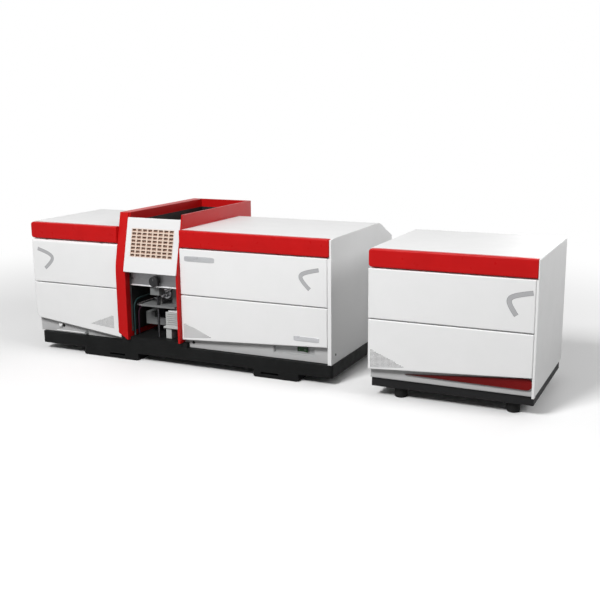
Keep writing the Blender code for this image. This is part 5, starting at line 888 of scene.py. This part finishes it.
# Painted shade: a near-black sheet under each hood stands for the shade inside its opening.
slit_painted_shade = enamel("slit_painted_shade", (0.01,) * 3, (0.016,) * 3, 0.7)
skin("louvre_slits", slit + (places - (0, 0, HOOD_TALL + SLIT_DROP)), slit_painted_shade)

# The fan opening is closed by a finger guard of chromed wire, welded up from four rings and four struts.
# A pan-head screw at the end of each strut holds it to the cover.
GUARD_WIRE, GUARD_RINGS, GUARD_REACH, GUARD_INNER = 0.0009, (0.012, 0.021, 0.03, 0.039), 0.052, 0.01
GUARD_CLEAR, GUARD_SCREW_INSET = 0.0008, 0.002
fan_low, fan_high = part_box("fan_frame")
fan_x, _, fan_z = (fan_low + fan_high) / 2
guard_middle = np.array((fan_x, right_back + GUARD_WIRE + GUARD_CLEAR, fan_z))
chrome = metal("chrome_wire", (0.7, 0.7, 0.71), (0.6, 0.6, 0.62), 0.18, streak=0.002)
rings = [aimed(hoop(reach, GUARD_WIRE, 64), guard_middle, BACK) for reach in GUARD_RINGS]
skin("fan_guard_rings", rings, chrome, loop=True)
struts, heads = [], []
for turn in np.radians((45, 135, 225, 315)):
    out = np.array((math.cos(turn), 0, math.sin(turn)))
    struts.append(tube([guard_middle + out * r for r in (GUARD_INNER, GUARD_REACH)], GUARD_WIRE, BACK, 12))
    place = guard_middle + out * (GUARD_REACH - GUARD_SCREW_INSET) + (0, GUARD_WIRE, 0)
    heads.append(aimed(pan_head(), place, BACK))
skin("fan_guard_struts", struts, chrome)
skin("fan_guard_screws", heads, black_oxide)

# In the hollow of each mains inlet stand three flat pins of nickel-plated brass, pressed into its floor,
# the middle one a little higher than the other two.
PIN_PLACES, PIN_DEEP = ((-0.007, -0.002), (0, 0.002), (0.007, -0.002)), 0.0145
PIN_HALF_WIDE, PIN_HALF_TALL, PIN_STEPS = 0.0009, 0.002, ((0, 0), (0, 0.0112), (0.0004, 0.012))
pin = pad(PIN_HALF_WIDE, PIN_HALF_TALL, PIN_STEPS, 8, 20)
pins = []
for node in ("mains_inlet", "supply_inlet"):
    low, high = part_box(node)
    middle = (low + high) / 2
    for aside, rise in PIN_PLACES:
        pins.append(aimed(pin, (middle.x + aside, high.y - PIN_DEEP, middle.z + rise), BACK))
nickel = metal("nickel", (0.66, 0.64, 0.6), (0.56, 0.54, 0.5), 0.25)
skin("inlet_pins", pins, nickel)

# The gas manifold on the back and the terminals of the power cabinet are brass, screwed on through the
# covers. Three turned fittings in the manifold have a hexagon nut at the root and a barbed tail for a hose.
brass = metal("turned_brass", (0.62, 0.44, 0.17), (0.5, 0.34, 0.12), 0.28, (1, 0.1, 1), 0.0005)
paint(brass, "gas_manifold", "supply_terminals")
GAS_PORTS, PORT_INSET, PLATE_THICK = 3, 0.014, 0.0045
NUT_TALL, NUT_RADIUS, BARB_TALL, BARB_RADIUS, BARB_DEPTH = 0.004, 0.0078, 0.002, 0.005, 0.0009
NUT_EDGE, NUT_SLOPE, BARB_ROOT, BARB_BORE = 0.0006, 0.0008, 0.0035, 0.0032
manifold_low, manifold_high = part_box("gas_manifold")
port_z, plate_face = ((manifold_low + manifold_high) / 2).z, right_back + PLATE_THICK
barb_height = np.linspace(0, manifold_high.y - plate_face - NUT_TALL, 41)
barb_radius = BARB_RADIUS - BARB_DEPTH * ((barb_height / BARB_TALL) % 1)
barb_line = np.stack([barb_height, barb_radius], -1)
barb = [(0, BARB_ROOT), *barb_line, (barb_height[-1], BARB_BORE)]
nut = lathe([(0, NUT_RADIUS), (NUT_TALL - NUT_EDGE, NUT_RADIUS), (NUT_TALL, NUT_RADIUS - NUT_SLOPE)], 6)
ports = np.linspace(manifold_low.x + PORT_INSET, manifold_high.x - PORT_INSET, GAS_PORTS)
nuts = [aimed(nut, (x, plate_face, port_z), BACK) for x in ports]
barbs = [aimed(lathe(barb, 24), (x, plate_face + NUT_TALL, port_z), BACK) for x in ports]
skin("gas_nuts", nuts, brass, smooth=20)
skin("gas_barbs", barbs, brass)
